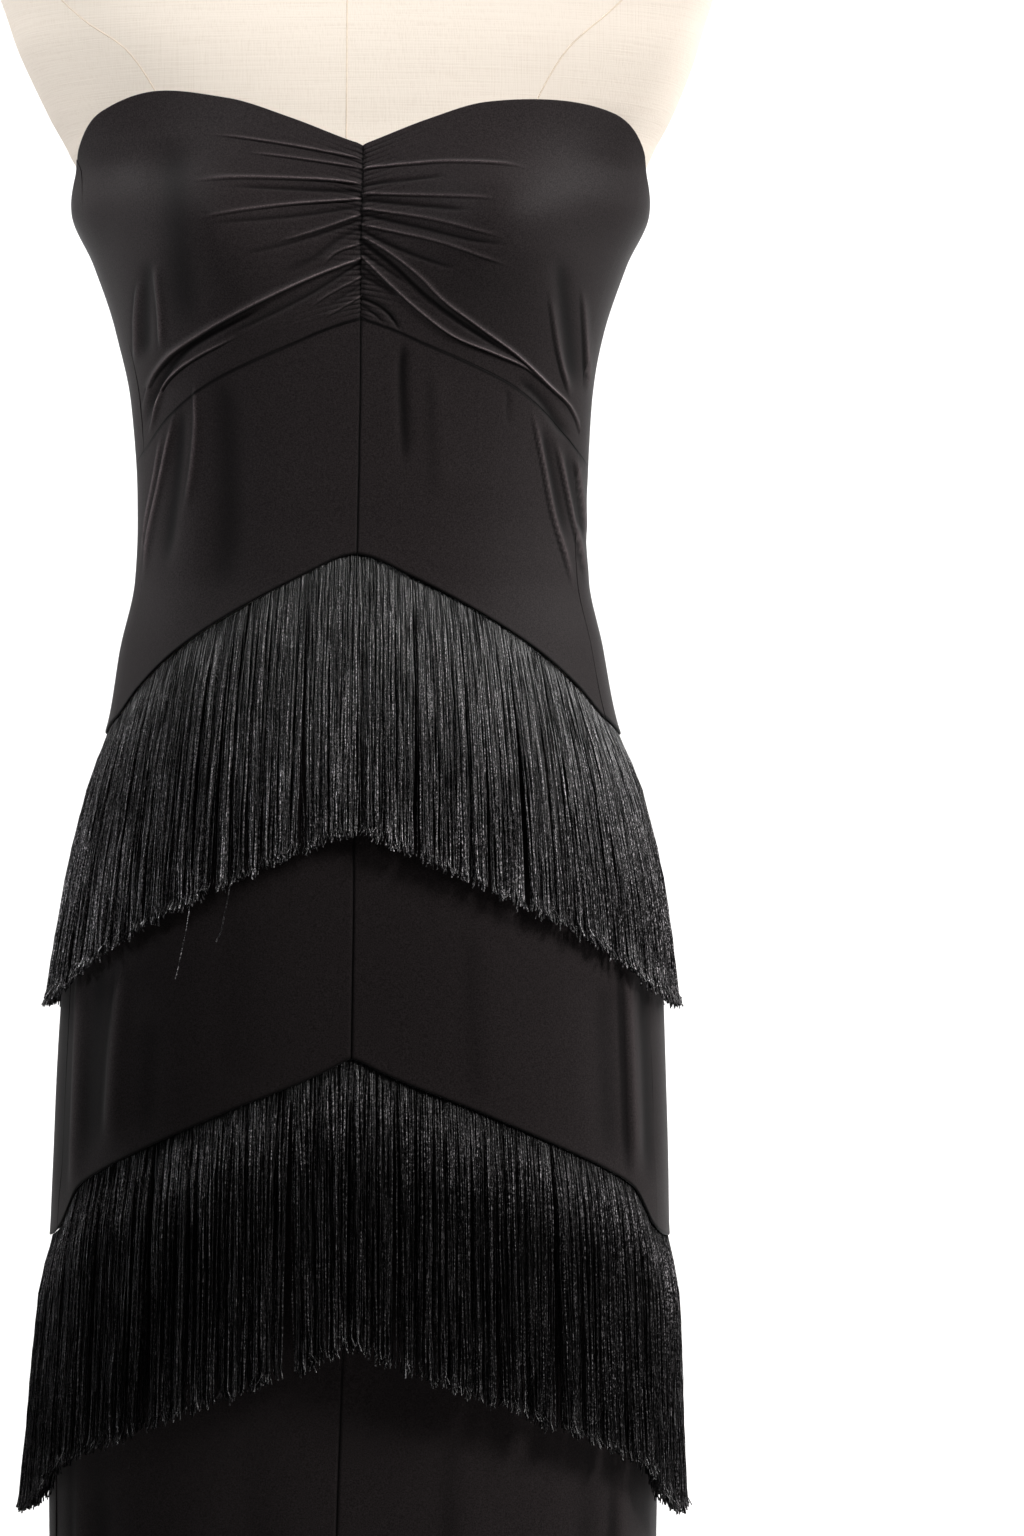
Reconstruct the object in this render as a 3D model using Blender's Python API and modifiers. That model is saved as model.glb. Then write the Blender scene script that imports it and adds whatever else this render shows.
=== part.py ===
"""A strapless fringe maxi dress, worn by a limbless dress form on a pole and a round base.

Metres, +Z up. The front faces -Y, and the origin is on the floor, under the middle of the pole.
Left and right are the wearer's, so the left side is at +X.
"""

import math
import random

import bmesh
import bpy
import numpy as np

# Cloth
CLOTH = 0.0013
SEAM_GAP = 0.0003
SEAM_DROP = 0.00021
HEM_HEIGHT = 0.040
SIDE_SEAM = math.radians(70.0)

# Ruched centre front
GATHERS = 15
ROWS_PER_GATHER = 3
GATHER_HEIGHT = 0.0013
GATHER_REACH = 0.070
GATHER_REACH_LEAST = 0.50
GATHER_REACH_WAVES = 3.5
GATHER_FADE = 1.4

# Bust of the general figure
BUST_ACROSS = 0.082
BUST_HEIGHT = 1.187
BUST_RISE = 0.022
BUST_WIDTH = 0.042
BUST_ABOVE = 0.036
BUST_BELOW = 0.046
BUST_FADE = 0.75

# Fringe
FRINGE_LENGTH = 0.150
HEADER_HEIGHT = 0.005
HEADER_GAP = 0.0005
LOCK_SHARE = 0.78
LOCK_THICKNESS = 0.0018
LOCK_UNEVENNESS = 0.0015
STEP_OUT_LENGTH = 0.060
FRINGE_SEED = 7

# Dress form and stand
FORM_EASE = 0.0010
SHOULDER_SLANT = 0.5
FORM_BOTTOM = 0.785
NECK_TOP = 1.500
CAP_THICKNESS = 0.012
CAP_OVERHANG = 0.003
CAP_SIDES = 32
EDGE_ROUNDING = 0.003
POLE_RADIUS = 0.0125
POLE_FLANGE_RADIUS = 0.030
POLE_FLANGE_HEIGHT = 0.012
BASE_RADIUS = 0.170
BASE_THICKNESS = 0.014
HUB_RADIUS = 0.024
HUB_HEIGHT = 0.036
TURNED_STEPS = 36

# The outer surface of the dress from hem to neckline, then that of the figure above it. The dress hangs
# a little turned, in degrees, and drifts a little sideways
FIGURE_COLUMNS = ("height", "half_width", "front", "back", "squareness", "turn", "drift")
FIGURE = (
    (0.040, 0.1610, 0.1080, 0.1120, 2.50, -0.90, -0.0070),
    (0.260, 0.1640, 0.1110, 0.1160, 2.50, -0.80, -0.0060),
    (0.480, 0.1674, 0.1135, 0.1195, 2.50, -0.72, -0.0045),
    (0.650, 0.1706, 0.1160, 0.1230, 2.50, -0.41, -0.0004),
    (0.770, 0.1670, 0.1170, 0.1250, 2.45, -0.18, 0.0005),
    (0.830, 0.1615, 0.1160, 0.1240, 2.40, -0.30, 0.0018),
    (0.880, 0.1522, 0.1125, 0.1200, 2.35, -0.30, 0.0018),
    (0.927, 0.1403, 0.1060, 0.1110, 2.30, -0.15, 0.0008),
    (0.966, 0.1338, 0.0980, 0.1010, 2.25, 0.00, 0.0000),
    (1.004, 0.1258, 0.0910, 0.0930, 2.20, 0.10, 0.0000),
    (1.035, 0.1245, 0.0885, 0.0880, 2.20, 0.30, 0.0000),
    (1.063, 0.1252, 0.0890, 0.0865, 2.20, 0.35, 0.0005),
    (1.102, 0.1277, 0.0930, 0.0890, 2.20, 0.80, 0.0000),
    (1.141, 0.1353, 0.0990, 0.0950, 2.20, 1.20, -0.0010),
    (1.179, 0.1480, 0.1030, 0.1010, 2.20, 1.15, -0.0008),
    (1.207, 0.1602, 0.1035, 0.1040, 2.20, 1.10, -0.0004),
    (1.224, 0.1612, 0.1012, 0.1054, 2.22, 1.05, 0.0000),
    (1.238, 0.1670, 0.0986, 0.1066, 2.25, 0.95, -0.0006),
    (1.260, 0.1773, 0.0950, 0.1080, 2.30, 0.50, -0.0008),
    (1.282, 0.1855, 0.0910, 0.1074, 2.40, 0.20, -0.0015),
    (1.306, 0.1935, 0.0860, 0.1060, 2.50, 0.00, -0.0025),
    (1.345, 0.2035, 0.0780, 0.1000, 2.60, 0.00, -0.0028),
    (1.372, 0.1990, 0.0710, 0.0900, 2.50, 0.00, -0.0020),
    (1.396, 0.1650, 0.0650, 0.0810, 2.30, 0.00, -0.0010),
    (1.420, 0.1100, 0.0590, 0.0730, 2.15, 0.00, -0.0005),
    (1.440, 0.0760, 0.0560, 0.0670, 2.00, 0.00, 0.0000),
    (1.465, 0.0640, 0.0540, 0.0620, 2.00, 0.00, 0.0000),
    (1.500, 0.0600, 0.0520, 0.0580, 2.00, 0.00, 0.0000),
)

# How far the dress form stands inside the figure below the waist, where the skirt hangs free
FORM_INSET_COLUMNS = ("height", "inset")
FORM_INSET = (
    (0.785, 0.0300),
    (0.795, 0.0200),
    (0.830, 0.0110),
    (0.880, 0.0050),
    (0.927, 0.0032),
    (1.014, 0.0024),
    (1.050, 0.0000),
    (1.150, 0.0000),
    (1.190, 0.0010),
    (1.225, 0.0032),
    (1.240, 0.0034),
    (1.262, 0.0022),
    (1.300, 0.0000),
    (1.500, 0.0000),
)

FORM_ROWS = (
    0.785, 0.795, 0.825, 0.870, 0.915, 0.955, 0.990, 1.020, 1.050, 1.080, 1.110, 1.135, 1.155,
    1.172, 1.187, 1.203, 1.215, 1.225, 1.239, 1.262, 1.290, 1.322, 1.350, 1.374, 1.394, 1.414,
    1.430, 1.447, 1.470, 1.500,
)

# Seams and edges that run round the body, as heights at angles from the front centre, and how much
# higher the same place is on the wearer's left
EDGE_COLUMNS = ("degrees", "height", "left_more")
NECKLINE = (
    (0, 1.2303, 0.0),
    (10, 1.2452, -0.0010),
    (20, 1.2565, -0.0022),
    (33, 1.2618, -0.0048),
    (50, 1.2535, -0.0010),
    (68, 1.2335, 0.0020),
    (90, 1.2070, 0.0008),
    (120, 1.1930, 0.0),
    (180, 1.1880, 0.0),
)
UNDERBUST_SEAM = (
    (0, 1.1385, 0.0),
    (6, 1.1330, 0.0),
    (14, 1.1250, 0.0),
    (24, 1.1165, 0.0),
    (38, 1.1050, 0.0),
    (52, 1.0910, 0.0),
    (70, 1.0730, 0.0),
    (90, 1.0650, 0.0),
    (180, 1.0620, 0.0),
)
UPPER_FRINGE_SEAM = (
    (0, 1.0145, 0.0),
    (3, 1.0125, 0.0),
    (10, 1.0045, 0.0),
    (24, 0.9885, 0.0),
    (45, 0.9620, 0.0),
    (58, 0.9440, 0.0),
    (70, 0.9280, 0.0),
    (90, 0.9190, 0.0),
    (180, 0.9160, 0.0),
)
LOWER_FRINGE_SEAM = (
    (0, 0.7474, 0.0),
    (3, 0.7400, 0.0),
    (8, 0.7318, 0.0),
    (16, 0.7218, 0.0),
    (24, 0.7120, 0.0),
    (36, 0.6985, 0.0),
    (48, 0.6862, 0.0),
    (58, 0.6750, 0.0),
    (68, 0.6530, 0.0),
    (76, 0.6460, 0.0),
    (90, 0.6425, 0.0),
    (180, 0.6410, 0.0),
)
HEM = ((0, HEM_HEIGHT, 0.0), (180, HEM_HEIGHT, 0.0))

# How far the outside of a fringe stands off the skirt, along its length
FLARE_COLUMNS = ("share", "offset")
UPPER_FLARE = ((0.0, 0.0), (0.2, 0.0045), (1.0, 0.0095))
LOWER_FLARE = ((0.0, 0.0), (0.2, 0.0055), (1.0, 0.0205))

# Where a front panel bends, as shares of the way from the centre front to the side seam, and the
# locks of fringe between that bend and the one before it
FRONT_COLUMNS = ("share", "locks")
FRONT = (
    (0.000, 0),
    (0.035, 1),
    (0.070, 1),
    (0.110, 1),
    (0.155, 1),
    (0.205, 1),
    (0.270, 2),
    (0.345, 2),
    (0.430, 2),
    (0.520, 2),
    (0.620, 2),
    (0.720, 2),
    (0.820, 2),
    (0.910, 2),
    (1.000, 2),
)
BACK_COLUMNS = 18
BACK_LOCKS = 3
BACK_ROWS = 12

# Largest folds of the bodice: a curve from start to end across the front, in metres
FOLD_COLUMNS = ("start_x", "start_z", "end_x", "end_z", "sag", "height", "width")
FOLDS = (
    (0.004, 1.1810, 0.116, 1.0800, 0.010, 0.0030, 0.0070),
    (0.004, 1.1690, 0.120, 1.0740, 0.006, 0.0022, 0.0055),
    (-0.004, 1.1690, -0.118, 1.0900, 0.016, 0.0026, 0.0065),
    (-0.004, 1.1590, -0.120, 1.0780, 0.012, 0.0020, 0.0055),
    (0.101, 1.1750, 0.119, 1.0950, 0.000, 0.0024, 0.0080),
    (-0.108, 1.1800, -0.120, 1.0950, 0.000, 0.0026, 0.0080),
    (-0.136, 1.1950, -0.125, 1.1150, 0.000, 0.0022, 0.0080),
    (0.084, 1.0800, 0.110, 1.0000, -0.003, 0.0016, 0.0060),
    (0.099, 1.0700, 0.119, 0.9850, -0.003, 0.0016, 0.0060),
    (-0.092, 1.0850, -0.112, 0.9900, -0.003, 0.0018, 0.0060),
    (-0.105, 1.0750, -0.124, 0.9750, -0.003, 0.0018, 0.0060),
    (0.038, 1.1080, 0.040, 1.0600, 0.000, 0.0012, 0.0080),
    (-0.118, 0.7900, -0.126, 0.6600, 0.000, 0.0022, 0.0100),
    (-0.150, 0.7900, -0.155, 0.6600, 0.000, 0.0024, 0.0080),
    (0.148, 0.7900, 0.150, 0.6700, 0.000, 0.0024, 0.0090),
)
FOLD_SAMPLES = 16
FOLD_START = 0.12
FOLD_END = 0.92
FOLD_FULLNESS = 0.7

TINY_ANGLE = 1e-3
TINY_HEIGHT = 1e-3
TINY_LENGTH = 1e-5


def column(table, names, name):
    """One named column of a table, as an array."""
    return np.array([row[names.index(name)] for row in table], float)


def smooth(keys, values, at):
    """Value on the smooth curve through the keys and values, which never overshoots a row."""
    at = np.clip(at, keys[0], keys[-1])
    step = np.diff(values) / np.diff(keys)
    same_way = step[:-1] * step[1:] > 0
    total = np.where(same_way, step[:-1] + step[1:], 1.0)
    inner = np.where(same_way, 2 * step[:-1] * step[1:] / total, 0.0)
    slope = np.concatenate([step[:1], inner, step[-1:]])
    i = np.clip(np.searchsorted(keys, at) - 1, 0, len(keys) - 2)
    gap = keys[i + 1] - keys[i]
    t = (at - keys[i]) / gap
    start = (2 * t**3 - 3 * t**2 + 1) * values[i] + (t**3 - 2 * t**2 + t) * gap * slope[i]
    end = (3 * t**2 - 2 * t**3) * values[i + 1] + (t**3 - t**2) * gap * slope[i + 1]
    return start + end


def figure_value(name, z):
    heights = column(FIGURE, FIGURE_COLUMNS, "height")
    return smooth(heights, column(FIGURE, FIGURE_COLUMNS, name), z)


def edge_height(edge, angle):
    """Height of a seam or an edge at an angle from the front centre."""
    degrees = np.degrees(np.arctan2(np.sin(angle), np.cos(angle)))
    keys = column(edge, EDGE_COLUMNS, "degrees")
    height = smooth(keys, column(edge, EDGE_COLUMNS, "height"), np.abs(degrees))
    more = smooth(keys, column(edge, EDGE_COLUMNS, "left_more"), np.abs(degrees))
    return height + np.where(degrees > 0, more, 0)


def bust(x, z):
    """Forward rise of the two soft cups."""
    across = (np.abs(x) - BUST_ACROSS) / BUST_WIDTH
    up = (z - BUST_HEIGHT) / np.where(z > BUST_HEIGHT, BUST_ABOVE, BUST_BELOW)
    return BUST_RISE * np.exp(-(across**2) - up**2)


def figure(angle, z):
    """Point of the outer surface. The angle runs from the front centre, positive towards +X."""
    angle, z = np.broadcast_arrays(angle, z)
    turned_angle = angle + np.radians(figure_value("turn", z))
    s, c = np.sin(turned_angle), np.cos(turned_angle)
    power = 2 / figure_value("squareness", z)
    x = figure_value("half_width", z) * np.sign(s) * np.abs(s) ** power
    depth = np.where(c > 0, figure_value("front", z), figure_value("back", z))
    y = -depth * np.sign(c) * np.abs(c) ** power
    facing = np.clip(c / BUST_FADE, 0, 1)
    y = y - bust(x, z) * facing**2 * (3 - 2 * facing)
    return np.stack([x + figure_value("drift", z), y, z], axis=-1)


def outward(angle, z):
    """Unit normal and unit tangent round the body, at a point of the outer surface."""
    around = figure(angle + TINY_ANGLE, z) - figure(angle - TINY_ANGLE, z)
    upward = figure(angle, z + TINY_HEIGHT) - figure(angle, z - TINY_HEIGHT)
    normal = np.cross(around, upward)
    normal /= np.linalg.norm(normal, axis=-1, keepdims=True)
    return normal, around / np.linalg.norm(around, axis=-1, keepdims=True)


def folds(points):
    """Outward rise of the largest folds at these points of the front."""
    rise = np.zeros(points.shape[:-1])
    for row in FOLDS:
        fold = dict(zip(FOLD_COLUMNS, row))
        t = np.linspace(0, 1, FOLD_SAMPLES)
        path_x = fold["start_x"] + (fold["end_x"] - fold["start_x"]) * t
        path_z = fold["start_z"] + (fold["end_z"] - fold["start_z"]) * t
        path_z = path_z - 4 * fold["sag"] * t * (1 - t)
        away = np.hypot(points[..., 0, None] - path_x, points[..., 2, None] - path_z)
        nearest = away.min(axis=-1)
        along = t[away.argmin(axis=-1)]
        taper = np.sin(math.pi * (FOLD_START + (FOLD_END - FOLD_START) * along)) ** FOLD_FULLNESS
        rise = rise + fold["height"] * taper * np.exp(-((nearest / fold["width"]) ** 2))
    return np.where(points[..., 1] < 0, rise, 0)


def gathers(points, share_up):
    """Outward rise of the ruching, which fans out from the centre front seam along the rows."""
    wave = 0.5 - 0.5 * np.cos(2 * math.pi * GATHERS * share_up)
    uneven = 0.5 + 0.5 * np.sin(2 * math.pi * GATHER_REACH_WAVES * share_up)
    reach = GATHER_REACH * (GATHER_REACH_LEAST + (1 - GATHER_REACH_LEAST) * uneven)
    fade = np.clip(1 - np.abs(points[..., 0]) / reach, 0, 1)
    return GATHER_HEIGHT * wave * fade**GATHER_FADE


def below(edge, angle, z):
    """Eased share from 0 at an edge to 1 at a little way below it."""
    down = np.clip((edge_height(edge, angle) - z) / STEP_OUT_LENGTH, 0, 1)
    return down**2 * (3 - 2 * down)


def new_object(name, points, faces, material, collection):
    """A mesh object made from points and faces."""
    mesh = bpy.data.meshes.new(name)
    mesh.from_pydata([tuple(p) for p in points], [], faces)
    mesh.update()
    made = bpy.data.objects.new(name, mesh)
    mesh.materials.append(material)
    collection.objects.link(made)
    return made


def wall_faces(rows, columns, stride):
    """Faces of a wall: its outer points come first, then its inner ones, every stride-th row."""

    def outer(r, c):
        return r * columns + c

    def inner(r, c):
        return rows * columns + (r // stride) * columns + c

    faces = []
    for c in range(columns - 1):
        for r in range(rows - 1):
            faces.append((outer(r, c), outer(r, c + 1), outer(r + 1, c + 1), outer(r + 1, c)))
        for r in range(0, rows - 1, stride):
            faces.append((inner(r, c), inner(r + stride, c), inner(r + stride, c + 1), inner(r, c + 1)))
        faces.append((inner(0, c), inner(0, c + 1), outer(0, c + 1), outer(0, c)))
        last = rows - 1
        faces.append((outer(last, c), outer(last, c + 1), inner(last, c + 1), inner(last, c)))
    for r in range(0, rows - 1, stride):
        steps = range(r, r + stride + 1)
        start = [outer(k, 0) for k in steps]
        faces.append((*start, inner(r + stride, 0), inner(r, 0)))
        end = [outer(k, columns - 1) for k in steps]
        faces.append((*reversed(end), inner(r, columns - 1), inner(r + stride, columns - 1)))
    return faces


def panel(name, angles, top, bottom, rows, material, collection, ruched=False, under_fringe=False):
    """A cloth panel between two edges, as a closed wall. Its angles run from its start to its end."""
    angle = np.array(angles)[None, :]
    share = np.linspace(0, 1, rows)[:, None]
    low = edge_height(bottom, angle) + (SEAM_DROP if bottom is not HEM else 0)
    high = edge_height(top, angle) - (SEAM_DROP if top is not NECKLINE else 0)
    z = low + (high - low) * share
    if under_fringe:
        below_header = high - HEADER_GAP - HEADER_HEIGHT
        z = np.concatenate([low + (below_header - low) * share[:-1] / share[-2], high])
    points = figure(angle, z)
    normal, along = outward(angle, z)
    points[:, 0] += along[:, 0] * SEAM_GAP / 2
    points[:, -1] -= along[:, -1] * SEAM_GAP / 2
    lift = folds(points)
    if under_fringe:
        lift = lift * below(top, angle, z)
        points = points - normal * ((CLOTH + SEAM_GAP) * (1 - below(top, angle, z)))[..., None]
    rise = lift + gathers(points, share) if ruched else lift
    outer = points + normal * rise[..., None]
    inner = points - normal * (CLOTH - lift)[..., None]
    stride = ROWS_PER_GATHER if ruched else 1
    inner = inner[::stride]
    every = np.concatenate([outer.reshape(-1, 3), inner.reshape(-1, 3)])
    return new_object(name, every, wall_faces(rows, len(angles), stride), material, collection)


def front_angles(side):
    """Column angles of a front panel, in the order that keeps its outer face outwards."""
    angles = list(column(FRONT, FRONT_COLUMNS, "share") * SIDE_SEAM)
    return angles if side > 0 else [-a for a in reversed(angles)]


def back_angles():
    """Column angles of a back panel, from the left side seam round to the right one."""
    return list(np.linspace(SIDE_SEAM, 2 * math.pi - SIDE_SEAM, BACK_COLUMNS + 1))


def tier(prefix, top, bottom, rows, material, collection, ruched=False, under_fringe=False):
    """Left front, right front and back panels of one level of the dress."""
    for name, angles in (("left", front_angles(1)), ("right", front_angles(-1))):
        panel(f"{prefix}_front_{name}", angles, top, bottom, rows, material, collection, ruched, under_fringe)
    back_rows = BACK_ROWS if ruched else rows
    panel(f"{prefix}_back", back_angles(), top, bottom, back_rows, material, collection, False, under_fringe)


def fringe(name, angles, locks, seam, flare, material, collection):
    """A header strip under a seam, with locks that hang from it and stand apart below it.

    Every point lies straight between two columns of the panel behind it, moved outwards.
    """
    dice = random.Random(FRINGE_SEED)
    shares = column(flare, FLARE_COLUMNS, "share")
    offsets = column(flare, FLARE_COLUMNS, "offset")
    angle = np.array(angles)
    seam_height = edge_height(seam, angle)
    steps = np.linalg.norm(np.diff(figure(angle, seam_height), axis=0), axis=1)
    lengths = np.concatenate([[0], np.cumsum(steps)])
    bends = lengths.copy()
    bends[0] += SEAM_GAP / 2
    bends[-1] -= SEAM_GAP / 2
    root_drop = HEADER_GAP + HEADER_HEIGHT
    points, faces = [], []

    def add(length, drop, offset):
        normal, _ = outward(angle, seam_height - drop)
        line = figure(angle, seam_height - drop) + normal * offset
        points.append([np.interp(length, lengths, line[:, k]) for k in range(3)])
        return len(points) - 1

    def section(left, right, drop, outer, inner):
        """Four corners in order: outer left, outer right, inner right, inner left."""
        corners = ((left, outer), (right, outer), (right, inner), (left, inner))
        return [add(length, drop, offset) for length, offset in corners]

    def upright(length):
        """Header corners at a bend: outer top, outer bottom, inner bottom, inner top."""
        return (
            add(length, HEADER_GAP, 0),
            add(length, root_drop, 0),
            add(length, root_drop, -CLOTH),
            add(length, HEADER_GAP, -CLOTH),
        )

    first = a = upright(bends[0])
    for i, count in enumerate(locks):
        b = upright(bends[i + 1])
        cell = (bends[i + 1] - bends[i]) / count
        outer_edge, inner_edge = [a[1]], [a[2]]
        for k in range(count):
            left = bends[i] + (k + (1 - LOCK_SHARE) / 2) * cell
            right = left + LOCK_SHARE * cell
            before = section(left, right, root_drop, 0, -CLOTH)
            outer_edge += before[:2]
            inner_edge += [before[3], before[2]]
            length = FRINGE_LENGTH - HEADER_HEIGHT - LOCK_UNEVENNESS * dice.random()
            for share, offset in zip(shares[1:], offsets[1:]):
                now = section(left, right, root_drop + share * length, offset, offset - LOCK_THICKNESS)
                for j in range(4):
                    n = (j + 1) % 4
                    faces.append((before[n], before[j], now[j], now[n]))
                before = now
            faces.append(before)
        outer_edge.append(b[1])
        inner_edge.append(b[2])
        faces.append((a[0], *outer_edge, b[0]))
        faces.append((b[3], *reversed(inner_edge), a[3]))
        faces.append((a[0], b[0], b[3], a[3]))
        for j in range(0, len(outer_edge), 2):
            faces.append((outer_edge[j], inner_edge[j], inner_edge[j + 1], outer_edge[j + 1]))
        a = b
    faces.append(first[::-1])
    faces.append(a)
    made = new_object(name, points, faces, material, collection)
    face_outwards(made.data)
    return made


def face_outwards(mesh):
    """Turns every face of a closed mesh outwards."""
    edit = bmesh.new()
    edit.from_mesh(mesh)
    bmesh.ops.recalc_face_normals(edit, faces=edit.faces)
    edit.to_mesh(mesh)
    edit.free()


def fringe_tier(prefix, seam, flare, material, collection):
    """Fringe on a seam: one header for each panel that it is sewn to."""
    locks = [int(count) for count in column(FRONT, FRONT_COLUMNS, "locks")][1:]
    fringe(f"{prefix}_front_left", front_angles(1), locks, seam, flare, material, collection)
    fringe(f"{prefix}_front_right", front_angles(-1), locks[::-1], seam, flare, material, collection)
    locks = [BACK_LOCKS] * BACK_COLUMNS
    fringe(f"{prefix}_back", back_angles(), locks, seam, flare, material, collection)


def form_torso(material, collection):
    """The dress form's closed torso, inside the dress by the cloth and a little ease."""
    heights = FORM_ROWS
    around = front_angles(1) + back_angles()[1:] + front_angles(-1)[1:-1]
    columns = len(around)
    angle = np.array(around)[None, :]
    z = np.array(heights)[:, None] * np.ones((1, columns))
    inset_heights = column(FORM_INSET, FORM_INSET_COLUMNS, "height")
    inset = smooth(inset_heights, column(FORM_INSET, FORM_INSET_COLUMNS, "inset"), z)
    normal, _ = outward(angle, z)
    sideways = normal * (1, 1, 0)
    slant = np.maximum((sideways**2).sum(axis=-1, keepdims=True), SHOULDER_SLANT)
    points = figure(angle, z) - sideways / slant * (CLOTH + FORM_EASE + inset)[..., None]
    rows = len(heights)
    faces = []
    for r in range(rows - 1):
        for c in range(columns):
            n = (c + 1) % columns
            faces.append((r * columns + c, r * columns + n, (r + 1) * columns + n, (r + 1) * columns + c))
    faces.append(tuple(reversed(range(columns))))
    faces.append(tuple(range((rows - 1) * columns, rows * columns)))
    made = new_object("form_torso", points.reshape(-1, 3), faces, material, collection)
    made.data.shade_smooth()
    return made


def turned(name, profile, material, collection):
    """A turned solid: its profile runs down its outer side, from the axis to the axis."""
    mesh = bpy.data.meshes.new(name)
    edges = [(i, i + 1) for i in range(len(profile) - 1)]
    mesh.from_pydata([(radius, 0, z) for radius, z in profile], edges, [])
    mesh.materials.append(material)
    made = bpy.data.objects.new(name, mesh)
    collection.objects.link(made)
    screw = made.modifiers.new("Turn", "SCREW")
    screw.axis = "Z"
    screw.steps = screw.render_steps = TURNED_STEPS
    screw.use_merge_vertices = True
    screw.merge_threshold = TINY_LENGTH
    return made


def form_cap(material, collection):
    """Oval cap on the neck."""
    radius = figure_value("half_width", NECK_TOP) + CAP_OVERHANG
    depth = (figure_value("front", NECK_TOP) + figure_value("back", NECK_TOP)) / 2 + CAP_OVERHANG
    middle = (figure_value("back", NECK_TOP) - figure_value("front", NECK_TOP)) / 2
    bpy.ops.mesh.primitive_cylinder_add(vertices=CAP_SIDES, radius=1, depth=CAP_THICKNESS)
    made = bpy.context.object
    made.name = made.data.name = "form_neck_cap"
    made.data.materials.append(material)
    for vertex in made.data.vertices:
        vertex.co.x *= radius
        vertex.co.y *= depth
    made.location = (0, middle, NECK_TOP + SEAM_GAP + CAP_THICKNESS / 2)
    bevel = made.modifiers.new("Round", "BEVEL")
    bevel.width = EDGE_ROUNDING
    bevel.segments = 1
    move_to(made, collection)
    return made


def move_to(made, collection):
    for other in list(made.users_collection):
        other.objects.unlink(made)
    collection.objects.link(made)


def stand(steel, collection):
    """Round base with its hub, and the pole that carries the torso."""
    edge = EDGE_ROUNDING
    base = (
        (0, HUB_HEIGHT),
        (HUB_RADIUS - edge, HUB_HEIGHT),
        (HUB_RADIUS, HUB_HEIGHT - edge),
        (HUB_RADIUS, BASE_THICKNESS + edge),
        (HUB_RADIUS + edge, BASE_THICKNESS),
        (BASE_RADIUS - edge, BASE_THICKNESS),
        (BASE_RADIUS, BASE_THICKNESS - edge),
        (BASE_RADIUS, 0),
        (0, 0),
    )
    turned("form_base", base, steel, collection)
    top = FORM_BOTTOM - SEAM_GAP
    pole = (
        (0, top),
        (POLE_FLANGE_RADIUS, top),
        (POLE_FLANGE_RADIUS, top - POLE_FLANGE_HEIGHT / 2),
        (POLE_RADIUS, top - POLE_FLANGE_HEIGHT),
        (POLE_RADIUS, HUB_HEIGHT + SEAM_GAP),
        (0, HUB_HEIGHT + SEAM_GAP),
    )
    turned("form_pole", pole, steel, collection)


def surface(name, colour, roughness, metallic=0.0):
    """A Principled BSDF material."""
    made = bpy.data.materials.new(name)
    made.use_nodes = True
    shader = made.node_tree.nodes["Principled BSDF"]
    shader.inputs["Base Color"].default_value = (*colour, 1)
    shader.inputs["Roughness"].default_value = roughness
    shader.inputs["Metallic"].default_value = metallic
    return made


def main():
    for old in list(bpy.data.objects):
        bpy.data.objects.remove(old)
    collection = bpy.data.collections.new("fringe_maxi_dress")
    bpy.context.scene.collection.children.link(collection)

    jersey = surface("black jersey", (0.018, 0.016, 0.017), 0.55)
    yarn = surface("black fringe", (0.020, 0.019, 0.020), 0.40)
    linen = surface("cream linen", (0.84, 0.74, 0.62), 0.85)
    wood = surface("pale wood", (0.62, 0.47, 0.31), 0.50)
    steel = surface("grey steel", (0.42, 0.42, 0.43), 0.35, 1.0)

    tier("bodice", NECKLINE, UNDERBUST_SEAM, GATHERS * ROWS_PER_GATHER + 1, jersey, collection, ruched=True)
    tier("midriff", UNDERBUST_SEAM, UPPER_FRINGE_SEAM, 7, jersey, collection)
    tier("skirt", UPPER_FRINGE_SEAM, LOWER_FRINGE_SEAM, 8, jersey, collection, under_fringe=True)
    tier("lower_skirt", LOWER_FRINGE_SEAM, HEM, 5, jersey, collection, under_fringe=True)
    fringe_tier("upper_fringe", UPPER_FRINGE_SEAM, UPPER_FLARE, yarn, collection)
    fringe_tier("lower_fringe", LOWER_FRINGE_SEAM, LOWER_FLARE, yarn, collection)
    form_torso(linen, collection)
    form_cap(wood, collection)
    stand(steel, collection)


main()
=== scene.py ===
import math

import bmesh
import bpy
import numpy as np
from mathutils import Matrix, Vector


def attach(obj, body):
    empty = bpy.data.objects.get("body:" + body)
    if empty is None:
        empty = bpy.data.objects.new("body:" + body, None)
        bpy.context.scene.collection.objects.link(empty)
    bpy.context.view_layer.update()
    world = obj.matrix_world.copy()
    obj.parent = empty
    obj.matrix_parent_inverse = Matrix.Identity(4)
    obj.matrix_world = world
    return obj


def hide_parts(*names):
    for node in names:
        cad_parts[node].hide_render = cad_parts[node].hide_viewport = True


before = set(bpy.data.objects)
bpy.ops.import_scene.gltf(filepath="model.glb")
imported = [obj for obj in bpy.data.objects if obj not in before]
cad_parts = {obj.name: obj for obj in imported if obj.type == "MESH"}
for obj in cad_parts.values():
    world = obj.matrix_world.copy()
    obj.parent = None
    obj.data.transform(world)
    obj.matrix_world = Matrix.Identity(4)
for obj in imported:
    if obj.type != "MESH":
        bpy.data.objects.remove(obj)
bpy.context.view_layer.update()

# All lengths are in metres, unless a comment says otherwise. The front of the dress faces -Y

# Camera, as fitted to the photograph
PICTURE_HEIGHT = 1536
FOCAL_PIXELS = 3960
SENSOR = (24, 36)
CAMERA_AT = (0.0833, -2.2, 0.900)

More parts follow.
